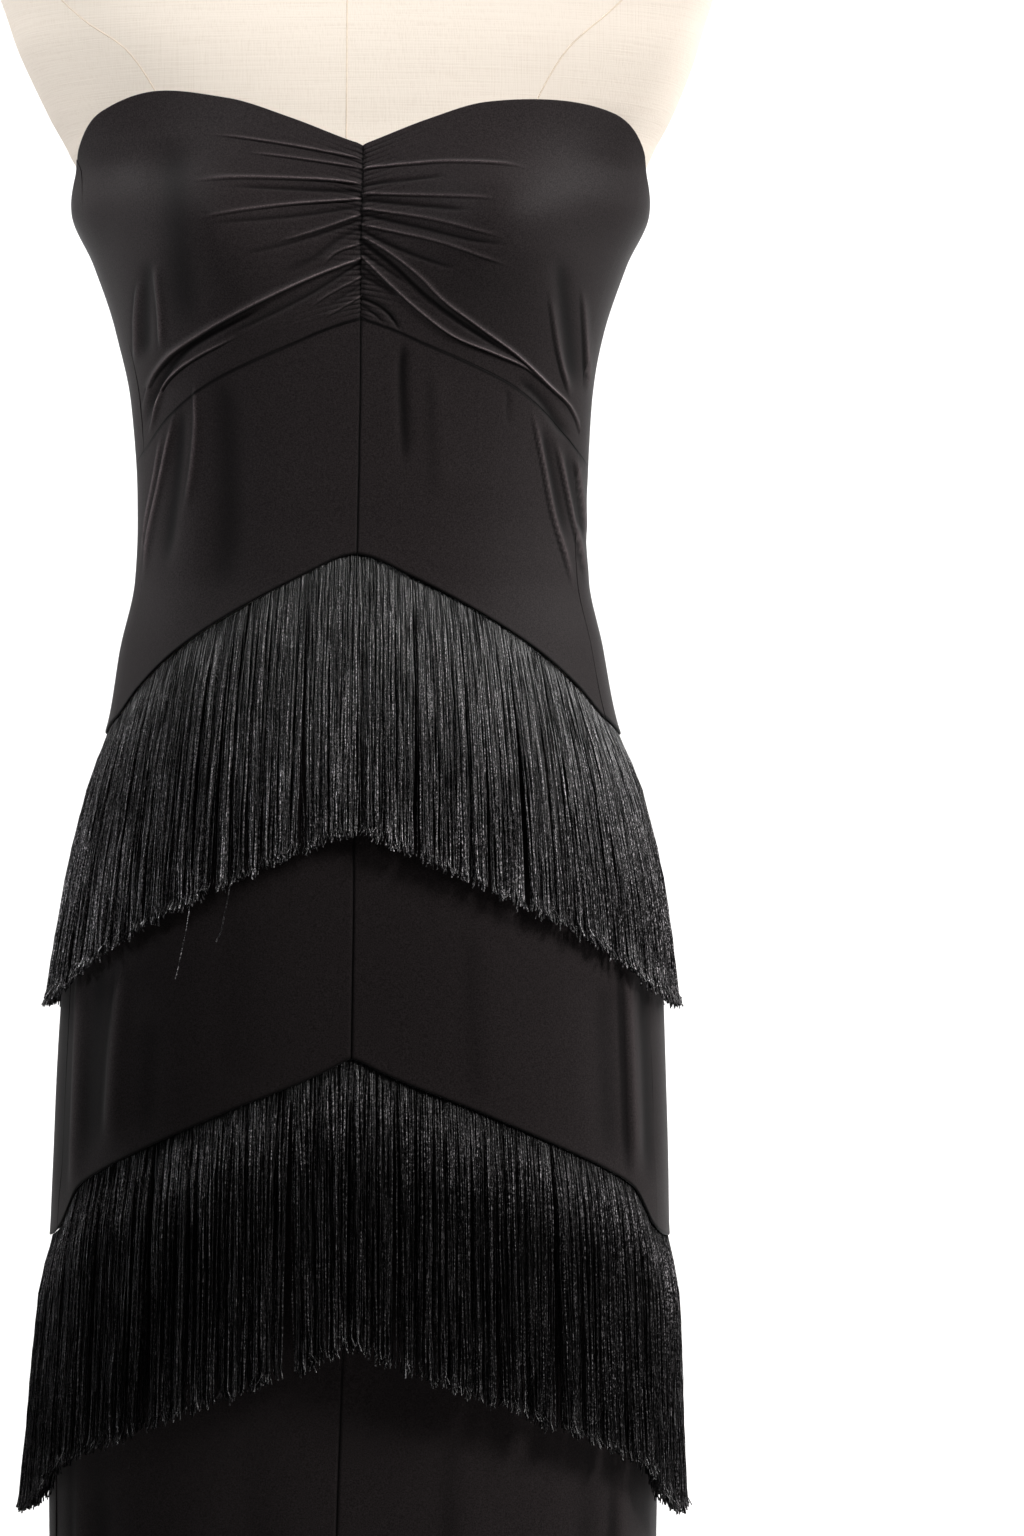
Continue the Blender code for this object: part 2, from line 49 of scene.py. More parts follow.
# Cloth: its edges turn in and under by a small radius and then run back a little
TURN_RADIUS = 0.0007
TURN_DEPTH = 0.008
TURN_DEGREES = (40, 80, 120, 160, 180)
CLOTH = 0.0013
SEAM_GAP = 0.0003
SEAM_DROP = 0.00021
HEM_HEIGHT = 0.040
SIDE_SEAM = math.radians(70.0)
STEP_OUT_LENGTH = 0.060
LIP_REACH = 0.010
SEAM_LIP = 0.0008

# Seam lines: half width, groove at the centre front, and how much shade is painted along the centre front,
# along it on the gathered bodice and along the seams round the figure
SEAM_LINE = 0.0006
CENTRE_GROOVE = 0.0008
CENTRE_SHADE = 1.6
BODICE_CENTRE_SHADE = 0.4
SEAM_SHADE = 2.2

# How much closer the mesh lines are at the centre front and at the top and bottom edges
CENTRE_CROWDING = 0.6
EDGE_CROWDING = 0.7

# Creases. None goes deeper in than DEEPEST, so that the form doesn't show through the cloth. The
# other values are shares of a crease's own width, length or height
DEEPEST = 0.0018
CREASE_REACH = 3
END_FADE = 0.25
START_FADE = 0.2
SHADED_SIDE_WIDTH = 0.5
FOOT_DIP = 0.3

# The painted shade and highlight of a crease: how much shade is painted at the foot of a ridge and in the
# middle of a trough and how bright a highlight is painted on a crest, for a crease of FULL_HEIGHT or more.
# Wide creases are fainter
FULL_HEIGHT = 0.0014
RIDGE_MOST = 1.2
TROUGH_MOST = 2.2
FULL_TONE_WIDTH = 0.006
FOOT_SHADE = 1.3
TROUGH_SHADE = 1.15
CREST_GLINT = 1.3
GLINT_WIDTH = 0.0022
GLINT_MOST = 1.5

# Gathers at the centre front seam of the bodice
GATHER_SEAM_X = 0.0036
PUCKERS = 36
PUCKER_HEIGHT = 0.0009
# Painted shade in the valleys between puckers and a painted highlight on their tops, and how far from the
# seam each reaches
PUCKER_PAINTED_SHADE = 2.8
PUCKER_SHADE_REACH = 0.006
PUCKER_PAINTED_HIGHLIGHT = 0.7
PUCKER_HIGHLIGHT_REACH = 0.004
GATHER_GROOVE = 0.0012
GATHER_GROOVE_WIDTH = 0.0020
GATHER_FULLNESS = 1.35

# Fringe
FRINGE_LENGTH = 0.150
HEADER_GAP = 0.0005
STRAND_RADIUS = 0.00033
STRAND_SAMPLES = 11
STRAND_SIDES = 3
STRAND_PITCH = 0.00022
STRAND_TWIST = 2.5
CLUMP_PITCH = 0.0038
CLUMP_PULL = (0.1, 0.65)
CLUMP_MARGIN = 0.006
ROOT_DEPTH = 0.0012
TIP_SWELL = 1.5

# How unlike each other the strands are: least and most, or the usual difference
LAYERS = (0.12, 1.0)
TONES = (0.45, 1.55)
THICKNESSES = (0.8, 1.15)
LENGTH_SPREAD = 0.009
SWAY = 0.0010
BOW = 0.0009
CURL = 0.0011

# Stray threads: where one starts across the front, how much longer it is and how far its end leans
STRAYS = ((-0.0560, 0.032, -0.008), (-0.0725, 0.040, -0.009))

YARN_ROUGHNESS = 0.34
JERSEY_ROUGHNESS = 0.55

# Bust of the general figure: two soft rises on the front
BUST_ACROSS = 0.082
BUST_HEIGHT = 1.187
BUST_RISE = 0.022
BUST_WIDTH = 0.042
BUST_ABOVE = 0.036
BUST_BELOW = 0.046
BUST_FADE = 0.75

# Away from the light, across and up the front: a crease is steeper on this side, and its painted shade falls
# on this side
SHADED_WAY = (-0.5, -0.87)

# The general figure at each height. squareness is the power of the section's curve, turn is in degrees
# and drift moves the section along x
FIGURE_COLUMNS = ("height", "half_width", "front", "back", "squareness", "turn", "drift")
FIGURE = (
    (0.040, 0.1610, 0.1080, 0.1120, 2.50, -0.90, -0.0070),
    (0.260, 0.1640, 0.1110, 0.1160, 2.50, -0.80, -0.0060),
    (0.480, 0.1674, 0.1135, 0.1195, 2.50, -0.72, -0.0045),
    (0.650, 0.1706, 0.1160, 0.1230, 2.50, -0.41, -0.0004),
    (0.770, 0.1670, 0.1170, 0.1250, 2.45, -0.18, 0.0005),
    (0.830, 0.1615, 0.1160, 0.1240, 2.40, -0.30, 0.0018),
    (0.880, 0.1522, 0.1125, 0.1200, 2.35, -0.30, 0.0018),
    (0.927, 0.1403, 0.1060, 0.1110, 2.30, -0.15, 0.0008),
    (0.966, 0.1338, 0.0980, 0.1010, 2.25, 0.00, 0.0000),
    (1.004, 0.1258, 0.0910, 0.0930, 2.20, 0.10, 0.0000),
    (1.035, 0.1245, 0.0885, 0.0880, 2.20, 0.30, 0.0000),
    (1.063, 0.1252, 0.0890, 0.0865, 2.20, 0.35, 0.0005),
    (1.102, 0.1277, 0.0930, 0.0890, 2.20, 0.80, 0.0000),
    (1.141, 0.1353, 0.0990, 0.0950, 2.20, 1.20, -0.0010),
    (1.179, 0.1480, 0.1030, 0.1010, 2.20, 1.15, -0.0008),
    (1.207, 0.1602, 0.1035, 0.1040, 2.20, 1.10, -0.0004),
    (1.224, 0.1612, 0.1012, 0.1054, 2.22, 1.05, 0.0000),
    (1.238, 0.1670, 0.0986, 0.1066, 2.25, 0.95, -0.0006),
    (1.260, 0.1773, 0.0950, 0.1080, 2.30, 0.50, -0.0008),
    (1.282, 0.1855, 0.0910, 0.1074, 2.40, 0.20, -0.0015),
    (1.306, 0.1935, 0.0860, 0.1060, 2.50, 0.00, -0.0025),
    (1.345, 0.2035, 0.0780, 0.1000, 2.60, 0.00, -0.0028),
    (1.372, 0.1990, 0.0710, 0.0900, 2.50, 0.00, -0.0020),
    (1.396, 0.1650, 0.0650, 0.0810, 2.30, 0.00, -0.0010),
    (1.420, 0.1100, 0.0590, 0.0730, 2.15, 0.00, -0.0005),
    (1.440, 0.0760, 0.0560, 0.0670, 2.00, 0.00, 0.0000),
    (1.465, 0.0640, 0.0540, 0.0620, 2.00, 0.00, 0.0000),
    (1.500, 0.0600, 0.0520, 0.0580, 2.00, 0.00, 0.0000),
)
# How far the torso lies in from the figure, besides the cloth and the ease
FORM_INSET_COLUMNS = ("height", "inset")
FORM_INSET = (
    (0.785, 0.0300),
    (0.795, 0.0200),
    (0.830, 0.0110),
    (0.880, 0.0050),
    (0.927, 0.0032),
    (1.014, 0.0024),
    (1.050, 0.0000),
    (1.150, 0.0000),
    (1.190, 0.0010),
    (1.225, 0.0032),
    (1.240, 0.0034),
    (1.262, 0.0022),
    (1.300, 0.0000),
    (1.500, 0.0000),
)
FORM_EASE = 0.0010
SHOULDER_SLANT = 0.5

# Height of each seam and edge round the figure, in degrees from the centre front. left_more is added
# on the wearer's left
EDGE_COLUMNS = ("degrees", "height", "left_more")
NECKLINE = (
    (0, 1.2303, 0.0),
    (10, 1.2452, -0.0010),
    (20, 1.2565, -0.0022),
    (33, 1.2618, -0.0048),
    (50, 1.2535, -0.0010),
    (68, 1.2335, 0.0020),
    (90, 1.2070, 0.0008),
    (120, 1.1930, 0.0),
    (180, 1.1880, 0.0),
)
UNDERBUST_SEAM = (
    (0, 1.1385, 0.0),
    (6, 1.1330, 0.0),
    (14, 1.1250, 0.0),
    (24, 1.1165, 0.0),
    (38, 1.1050, 0.0),
    (52, 1.0910, 0.0),
    (70, 1.0730, 0.0),
    (90, 1.0650, 0.0),
    (180, 1.0620, 0.0),
)
UPPER_FRINGE_SEAM = (
    (0, 1.0145, 0.0),
    (3, 1.0125, 0.0),
    (10, 1.0045, 0.0),
    (24, 0.9885, 0.0),
    (45, 0.9620, 0.0),
    (58, 0.9440, 0.0),
    (70, 0.9280, 0.0),
    (90, 0.9190, 0.0),
    (180, 0.9160, 0.0),
)
LOWER_FRINGE_SEAM = (
    (0, 0.7474, 0.0),
    (3, 0.7400, 0.0),
    (8, 0.7318, 0.0),
    (16, 0.7218, 0.0),
    (24, 0.7120, 0.0),
    (36, 0.6985, 0.0),
    (48, 0.6862, 0.0),
    (58, 0.6750, 0.0),
    (68, 0.6530, 0.0),
    (76, 0.6460, 0.0),
    (90, 0.6425, 0.0),
    (180, 0.6410, 0.0),
)
HEM = ((0, HEM_HEIGHT, 0.0), (180, HEM_HEIGHT, 0.0))

# Along a strand, by the share of its length: how light it is painted, as painted light and shade with
# painted shade just under the seam, and how far it stands off the figure
STRAND_COLUMNS = ("share", "value")
UPPER_PAINTED_LIGHT = ((0.0, 0.1), (0.03, 0.36), (0.10, 0.85), (0.35, 1.35), (1.0, 2.0))
LOWER_PAINTED_LIGHT = ((0.0, 0.1), (0.03, 0.8), (0.10, 1.6), (0.20, 1.2), (0.35, 0.45), (1.0, 0.6))
UPPER_FLARE = ((0.0, 0.0), (0.08, 0.0022), (0.25, 0.0045), (0.6, 0.0066), (1.0, 0.0095))
LOWER_FLARE = ((0.0, 0.0), (0.08, 0.0034), (0.25, 0.0085), (0.6, 0.0130), (1.0, 0.0185))

# Creases, listed one by one: height and width in millimetres at the start and the end, then points
# across the front in metres. A minus height is a trough
CREASE_COLUMNS = ("start_height", "end_height", "start_width", "end_width", "points")
RUCHING = (
    (1.2, 0.8, 1.4, 1.2, ((0.0030, 1.2230), (-0.0380, 1.2309), (-0.0791, 1.2377))),
    (1.2, 0.7, 1.3, 1.2, ((0.0030, 1.2180), (-0.0308, 1.2230), (-0.0591, 1.2268))),
    (1.5, 0.9, 1.5, 1.6, ((0.0030, 1.2095), (-0.0201, 1.2115), (-0.0551, 1.2121), (-0.0890, 1.2110))),
    (-1.5, -0.8, 1.3, 1.3, ((0.0030, 1.2048), (-0.0376, 1.2064), (-0.0690, 1.2073))),
    (1.5, 0.8, 1.4, 1.6, ((0.0030, 1.2012), (-0.0305, 1.1985), (-0.0600, 1.1940), (-0.0848, 1.1894))),
    (-1.2, -0.7, 1.2, 1.3, ((0.0030, 1.1972), (-0.0375, 1.1909), (-0.0812, 1.1862))),
    (1.4, 0.7, 1.3, 1.5, ((0.0030, 1.1928), (-0.0200, 1.1846), (-0.0410, 1.1780))),
    (-1.4, -0.5, 1.3, 1.5, ((0.0030, 1.1902), (-0.0200, 1.1820), (-0.0428, 1.1750), (-0.0638, 1.1702))),
    (1.2, 0.5, 1.3, 1.8, ((0.0030, 1.1775), (-0.0095, 1.1733), (-0.0184, 1.1654))),
    (-1.2, -0.4, 1.6, 3.0, ((0.0030, 1.1860), (-0.0095, 1.1795), (-0.0236, 1.1689), (-0.0412, 1.1617))),
    (1.6, 2.4, 1.4, 2.4, ((0.0030, 1.1697), (-0.0184, 1.1618), (-0.0466, 1.1495),
        (-0.0808, 1.1328), (-0.1027, 1.1200), (-0.1145, 1.1058), (-0.1198, 1.0900))),
    (-1.4, -0.7, 1.3, 1.5, ((0.0030, 1.1680), (-0.0251, 1.1504), (-0.0586, 1.1345), (-0.0758, 1.1286))),
    (1.1, 0.4, 1.2, 1.3, ((0.0030, 1.1600), (-0.0140, 1.1510), (-0.0260, 1.1430))),
    (-1.0, -0.3, 1.1, 1.3, ((0.0030, 1.1560), (-0.0160, 1.1440))),
    (1.0, 0.4, 1.1, 1.3, ((0.0030, 1.1500), (-0.0180, 1.1380))),
    (1.4, 1.0, 1.4, 1.3, ((0.0040, 1.2175), (0.0293, 1.2199), (0.0505, 1.2212), (0.0840, 1.2200),
        (0.0940, 1.2168))),
    (-1.4, -0.7, 1.3, 1.2, ((0.0040, 1.2085), (0.0258, 1.2111), (0.0514, 1.2137))),
    (1.2, 0.7, 1.4, 1.4, ((0.0040, 1.2042), (0.0417, 1.2025), (0.0790, 1.2002))),
    (-1.6, -0.9, 1.4, 1.2, ((0.0040, 1.2008), (0.0329, 1.1974), (0.0629, 1.1939))),
    (1.2, 0.7, 1.4, 1.4, ((0.0040, 1.1962), (0.0365, 1.1909), (0.0682, 1.1825), (0.0820, 1.1792))),
    (-2.0, -0.9, 1.5, 1.2, ((0.0040, 1.1932), (0.0329, 1.1861), (0.0682, 1.1772), (0.0849, 1.1761))),
    (1.2, 0.8, 1.4, 1.4, ((0.0040, 1.1875), (0.0418, 1.1788), (0.0682, 1.1699), (0.0850, 1.1648))),
    (-1.8, -1.2, 1.4, 1.4, ((0.0040, 1.1848), (0.0152, 1.1785), (0.0364, 1.1695), (0.0560, 1.1630))),
    (-3.1, -1.8, 1.7, 1.5, ((0.0040, 1.1790), (0.0200, 1.1663), (0.0365, 1.1511),
        (0.0530, 1.1389), (0.0729, 1.1267), (0.0830, 1.1205))),
    (1.2, 2.0, 1.2, 1.5, ((0.0040, 1.1815), (0.0184, 1.1728), (0.0349, 1.1600), (0.0465, 1.1484),
        (0.0663, 1.1344), (0.0862, 1.1209), (0.1032, 1.1062), (0.1152, 1.0956), (0.1205, 1.0833),
        (0.1227, 1.0700))),
    (1.4, 1.6, 1.1, 1.4, ((0.0040, 1.1705), (0.0216, 1.1536), (0.0365, 1.1407), (0.0530, 1.1293),
        (0.0729, 1.1219), (0.0896, 1.1155), (0.1060, 1.1040))),
    (-1.8, -0.8, 1.3, 1.2, ((0.0040, 1.1730), (0.0167, 1.1642), (0.0285, 1.1558))),
    (-1.6, -0.8, 1.3, 1.2, ((0.0040, 1.1655), (0.0151, 1.1568), (0.0243, 1.1495))),
    (-1.4, -0.8, 1.2, 1.2, ((0.0040, 1.1608), (0.0142, 1.1553), (0.0240, 1.1490))),
    (-2.0, -2.0, 1.3, 1.4, ((0.0040, 1.1495), (0.0158, 1.1431), (0.0219, 1.1358), (0.0244, 1.1290))),
    (-1.5, -1.0, 1.2, 1.2, ((0.0040, 1.1452), (0.0116, 1.1398), (0.0178, 1.1330))),
)
LONG_FOLDS = (
    (-0.8, -3.0, 1.8, 2.4, ((-0.0450, 1.1455), (-0.0757, 1.1318), (-0.0908, 1.1239),
        (-0.1048, 1.1105), (-0.1144, 1.0925), (-0.1180, 1.0830))),
    (0.8, 2.4, 1.4, 1.9, ((-0.0600, 1.1310), (-0.0865, 1.1196), (-0.0974, 1.1131),
        (-0.1069, 1.1033), (-0.1120, 1.0888), (-0.1150, 1.0800))),
    (-1.2, -2.0, 3.0, 2.8, ((0.0863, 1.1099), (0.0998, 1.0985), (0.1083, 1.0867), (0.1150, 1.0780))),
    (0.6, 2.0, 2.6, 2.4, ((0.1214, 1.1602), (0.1239, 1.1256), (0.1251, 1.1047))),
    (-1.0, -2.2, 5.0, 5.0, ((0.1085, 1.1750), (0.1147, 1.1321), (0.1187, 1.1048))),
    (0.6, 1.8, 2.6, 2.4, ((0.1035, 1.1560), (0.1082, 1.1264), (0.1156, 1.1001))),
    (0.8, 1.8, 3.0, 2.6, ((-0.1085, 1.1700), (-0.1062, 1.1419), (-0.1057, 1.1240))),
    (-0.8, -2.0, 4.0, 4.0, ((-0.1114, 1.1740), (-0.1140, 1.1477), (-0.1157, 1.1200))),
    (-1.6, -2.4, 13.0, 12.0, ((-0.0990, 1.2400), (-0.0960, 1.2100), (-0.0932, 1.1656),
        (-0.0900, 1.1300))),
    (0.8, 1.6, 3.0, 3.0, ((-0.1173, 1.1639), (-0.1211, 1.1408), (-0.1218, 1.1200))),
    (1.6, 1.4, 2.0, 3.2, ((-0.0876, 1.1080), (-0.0872, 1.0885), (-0.0896, 1.0619), (-0.0940, 1.0380))),
    (1.5, 1.9, 1.8, 2.4, ((-0.0996, 1.0935), (-0.1033, 1.0763), (-0.1079, 1.0564),
        (-0.1150, 1.0260), (-0.1190, 1.0000))),
    (1.2, 1.6, 1.8, 2.2, ((-0.1070, 1.0830), (-0.1110, 1.0601), (-0.1160, 1.0380), (-0.1205, 1.0100))),
    (-1.6, -2.2, 11.0, 13.0, ((-0.0750, 1.1180), (-0.0698, 1.0844), (-0.0690, 1.0377),
        (-0.0740, 0.9850))),
    (-1.4, -1.8, 4.0, 4.5, ((-0.0942, 1.0980), (-0.0963, 1.0724), (-0.1001, 1.0423),
        (-0.1060, 1.0050))),
    (-2.2, -1.2, 2.8, 4.0, ((0.0261, 1.1280), (0.0250, 1.1081), (0.0262, 1.0785), (0.0270, 1.0600))),
    (1.3, 1.6, 2.0, 2.2, ((0.0938, 1.0950), (0.1001, 1.0659), (0.1053, 1.0393), (0.1127, 1.0143),
        (0.1180, 0.9950))),
    (1.3, 1.6, 2.1, 2.3, ((0.1070, 1.0800), (0.1121, 1.0568), (0.1197, 1.0236), (0.1250, 1.0000))),
    (1.2, 1.6, 2.2, 2.4, ((0.1179, 1.0710), (0.1215, 1.0496), (0.1245, 1.0250))),
    (-1.2, -1.4, 3.2, 3.5, ((0.1000, 1.0850), (0.1065, 1.0550), (0.1140, 1.0220))),
    (-1.2, -1.4, 3.0, 3.5, ((0.1130, 1.0740), (0.1170, 1.0530), (0.1225, 1.0250))),
    (-0.8, -0.3, 1.4, 1.6, ((0.0812, 1.1040), (0.0816, 1.0820))),
    (0.5, 0.4, 9.0, 12.0, ((0.0440, 1.1150), (0.0460, 1.0800), (0.0480, 1.0400))),
    (1.6, 2.2, 6.0, 8.0, ((-0.124, 0.8000), (-0.130, 0.7485), (-0.133, 0.6950))),
    (-1.4, -1.8, 7.0, 8.0, ((-0.136, 0.8000), (-0.141, 0.7400), (-0.144, 0.6850))),
    (2.2, 2.6, 5.0, 6.0, ((-0.150, 0.8000), (-0.152, 0.7300), (-0.154, 0.6650))),
    (-1.8, -2.0, 5.0, 5.0, ((-0.160, 0.8000), (-0.161, 0.7300), (-0.162, 0.6600))),
    (-0.7, -0.7, 9.0, 9.0, ((-0.108, 0.7700), (-0.110, 0.7300), (-0.112, 0.7000))),
    (2.0, 2.4, 5.0, 6.0, ((0.144, 0.8000), (0.147, 0.7300), (0.149, 0.6750))),
    (-1.6, -1.8, 5.0, 5.0, ((0.154, 0.8000), (0.157, 0.7300), (0.158, 0.6700))),
    (-0.7, -0.9, 8.0, 8.0, ((0.132, 0.7900), (0.134, 0.7300), (0.136, 0.6850))),
    (0.5, 0.6, 16.0, 18.0, ((0.070, 0.8200), (0.072, 0.7600), (0.074, 0.7150))),
    (-0.5, -0.6, 16.0, 18.0, ((-0.060, 0.8300), (-0.062, 0.7700), (-0.064, 0.7250))),
    (1.8, 1.5, 7.0, 12.0, ((-0.150, 0.5600), (-0.149, 0.4700), (-0.147, 0.2500), (-0.145, 0.0600))),
    (-1.4, -1.2, 8.0, 12.0, ((-0.138, 0.5600), (-0.136, 0.4700), (-0.130, 0.2500), (-0.128, 0.0600))),
    (1.8, 1.5, 7.0, 12.0, ((0.143, 0.5600), (0.141, 0.4700), (0.138, 0.2500), (0.135, 0.0600))),
    (-1.2, -1.0, 9.0, 12.0, ((0.126, 0.5600), (0.122, 0.4700), (0.118, 0.2500), (0.115, 0.0600))),
    (0.9, 1.6, 16.0, 22.0, ((0.060, 0.5800), (0.058, 0.3500), (0.062, 0.0600))),
    (-0.9, -1.4, 16.0, 22.0, ((-0.050, 0.5800), (-0.055, 0.3500), (-0.060, 0.0600))),
)
# The same for the back, read across the back
BACK_FOLDS = (
    (0.6, 1.2, 10.0, 12.0, ((-0.060, 0.7800), (-0.062, 0.7000), (-0.064, 0.6500))),
    (-0.6, -1.0, 10.0, 12.0, ((-0.020, 0.7800), (-0.021, 0.7000), (-0.022, 0.6500))),
    (0.6, 1.2, 12.0, 12.0, ((0.052, 0.7800), (0.054, 0.7000), (0.056, 0.6500))),
    (1.2, 2.0, 14.0, 22.0, ((-0.080, 0.5500), (-0.085, 0.3000), (-0.090, 0.0600))),
    (-1.2, -2.0, 14.0, 22.0, ((-0.035, 0.5500), (-0.038, 0.3000), (-0.040, 0.0600))),
    (1.2, 2.0, 14.0, 22.0, ((0.015, 0.5500), (0.017, 0.3000), (0.020, 0.0600))),
    (-1.0, -1.6, 14.0, 22.0, ((0.060, 0.5500), (0.064, 0.3000), (0.068, 0.0600))),
    (1.0, 1.8, 12.0, 20.0, ((0.110, 0.5500), (0.110, 0.3000), (0.110, 0.0600))),
)
# Seams of the torso's linen, as points across the front and up
FORM_SEAMS = (
    ((-0.0048, 1.2250), (-0.0048, 1.3050), (-0.0035, 1.3700), (-0.0020, 1.4300), (-0.0010, 1.4980)),
    ((-0.1010, 1.2450), (-0.1100, 1.2640), (-0.1250, 1.2860), (-0.1480, 1.3030),
        (-0.1640, 1.3180), (-0.1800, 1.3360)),
    ((0.0930, 1.2450), (0.1010, 1.2640), (0.1140, 1.2860), (0.1360, 1.3070), (0.1490, 1.3200),
        (0.1640, 1.3370)),
)
FORM_SEAM_SIZE = (0.0005, 0.0003)
FORM_SEAM_SIDES = 6
FORM_SEAM_SAMPLES = 70

# Mesh lines of the torso: how many round it, the height at which they are evenly spaced, and the
# rows from a height to a height
TORSO_LINES_ROUND = 200
TORSO_SPACED_AT = 1.25
TORSO_ROWS = ((0.785, 0.83, 7), (0.83, 1.18, 39), (1.18, 1.50, 110))

# The pieces of each tier, in order: name, then where it starts and ends round the figure in radians
PIECES = (
    ("front_left", 0, SIDE_SEAM),
    ("front_right", -SIDE_SEAM, 0),
    ("back", SIDE_SEAM, 2 * math.pi - SIDE_SEAM),
)

# White paper behind the dress: x from and to, its front edge, where it starts to curve up, the
# curve's radius and the top of the wall
PAPER_X = (-1.1, 1.3)
PAPER_FRONT = -0.8
PAPER_BEND = 1.4
PAPER_RADIUS = 0.9
PAPER_TOP = 2.6

# What the world gives as light, and the plain grey that the camera sees past the paper
WORLD_LIGHT = 0.02
SURROUND = (0.55, 0.55, 0.55, 1)

# Power is in watts and spread in degrees
LIGHT_COLUMNS = ("name", "at", "target", "size", "power", "colour", "spread")
LIGHTS = (
    ("key", (2.30, -1.02, 2.23), (0.0, 0.0, 1.0), (0.7, 0.7), 64, (1.0, 0.98, 0.97), 180),
    ("fill", (-1.03, -1.48, 2.46), (-0.03, 0.0, 1.40), (0.5, 0.5), 1.15, (1, 1, 1), 24),
    ("left", (-2.0, -0.2, 1.05), (0.0, 0.0, 1.03), (0.3, 0.5), 0.28, (0.95, 0.95, 1.0), 30),
    ("wall_left", (-1.7, 0.8, 2.6), (-0.4, 2.3, 1.1), (0.8, 1.6), 70, (1, 1, 1), 180),
    ("wall_right", (1.9, 0.8, 2.6), (0.5, 2.3, 1.1), (0.8, 1.6), 70, (1, 1, 1), 180),
)


def column(table, names, name):
    """One named column of a table."""
    return np.array([row[names.index(name)] for row in table], float)


def smooth(keys, values, at):
    """Values between the keys, along a curve that doesn't swing past them."""
    at = np.clip(at, keys[0], keys[-1])
    step = np.diff(values) / np.diff(keys)
    same_way = step[:-1] * step[1:] > 0
    total = np.where(same_way, step[:-1] + step[1:], 1.0)
    inner = np.where(same_way, 2 * step[:-1] * step[1:] / total, 0.0)
    slope = np.concatenate([step[:1], inner, step[-1:]])
    i = np.clip(np.searchsorted(keys, at) - 1, 0, len(keys) - 2)
    gap = keys[i + 1] - keys[i]
    t = (at - keys[i]) / gap
    start = (2 * t**3 - 3 * t**2 + 1) * values[i] + (t**3 - 2 * t**2 + t) * gap * slope[i]
    end = (3 * t**2 - 2 * t**3) * values[i + 1] + (t**3 - t**2) * gap * slope[i + 1]
    return start + end


def figure_value(name, z):
    return smooth(column(FIGURE, FIGURE_COLUMNS, "height"), column(FIGURE, FIGURE_COLUMNS, name), z)


def edge_height(edge, angle):
    """Height of a seam or edge at these angles round the figure."""
    degrees = np.degrees(np.arctan2(np.sin(angle), np.cos(angle)))
    keys = column(edge, EDGE_COLUMNS, "degrees")
    height = smooth(keys, column(edge, EDGE_COLUMNS, "height"), np.abs(degrees))
    more = smooth(keys, column(edge, EDGE_COLUMNS, "left_more"), np.abs(degrees))
    return height + np.where(degrees > 0, more, 0)


def bust(x, z):
    """How far the bust comes forward."""
    across = (np.abs(x) - BUST_ACROSS) / BUST_WIDTH
    up = (z - BUST_HEIGHT) / np.where(z > BUST_HEIGHT, BUST_ABOVE, BUST_BELOW)
    return BUST_RISE * np.exp(-(across**2) - up**2)


def figure(angle, z):
    """Points of the general figure, by the angle from the centre front and the height."""
    angle, z = np.broadcast_arrays(angle, z)
    turned_angle = angle + np.radians(figure_value("turn", z))
    s, c = np.sin(turned_angle), np.cos(turned_angle)
    power = 2 / figure_value("squareness", z)
    x = figure_value("half_width", z) * np.sign(s) * np.abs(s) ** power
    depth = np.where(c > 0, figure_value("front", z), figure_value("back", z))
    y = -depth * np.sign(c) * np.abs(c) ** power
    facing = np.clip(c / BUST_FADE, 0, 1)
    y = y - bust(x, z) * facing**2 * (3 - 2 * facing)
    return np.stack([x + figure_value("drift", z), y, z], axis=-1)


def unit(v):
    return v / np.maximum(np.linalg.norm(v, axis=-1, keepdims=True), 1e-12)


def outward(angle, z, step=1e-3):
    """Unit vectors out of the figure and round it."""
    around = figure(angle + step, z) - figure(angle - step, z)
    upward = figure(angle, z + step) - figure(angle, z - step)
    return unit(np.cross(around, upward)), unit(around)


def below(edge, angle, z):
    """0 at the edge, rising softly to 1 at STEP_OUT_LENGTH under it."""
    down = np.clip((edge_height(edge, angle) - z) / STEP_OUT_LENGTH, 0, 1)
    return down**2 * (3 - 2 * down)


def spline(points, count):
    """Points evenly spread along a smooth line through the given ones."""
    p = np.array(points, float)
    t = np.arange(len(p), dtype=float)
    if len(p) == 2:
        return p[0] + (p[1] - p[0]) * np.linspace(0, 1, count)[:, None]
    at = np.linspace(0, len(p) - 1, count * 3)
    dense = np.stack([smooth(t, p[:, k], at) for k in range(p.shape[1])], axis=-1)
    length = np.concatenate([[0], np.cumsum(np.linalg.norm(np.diff(dense, axis=0), axis=1))])
    even = np.linspace(0, length[-1], count)
    return np.stack([np.interp(even, length, dense[:, k]) for k in range(p.shape[1])], axis=-1)


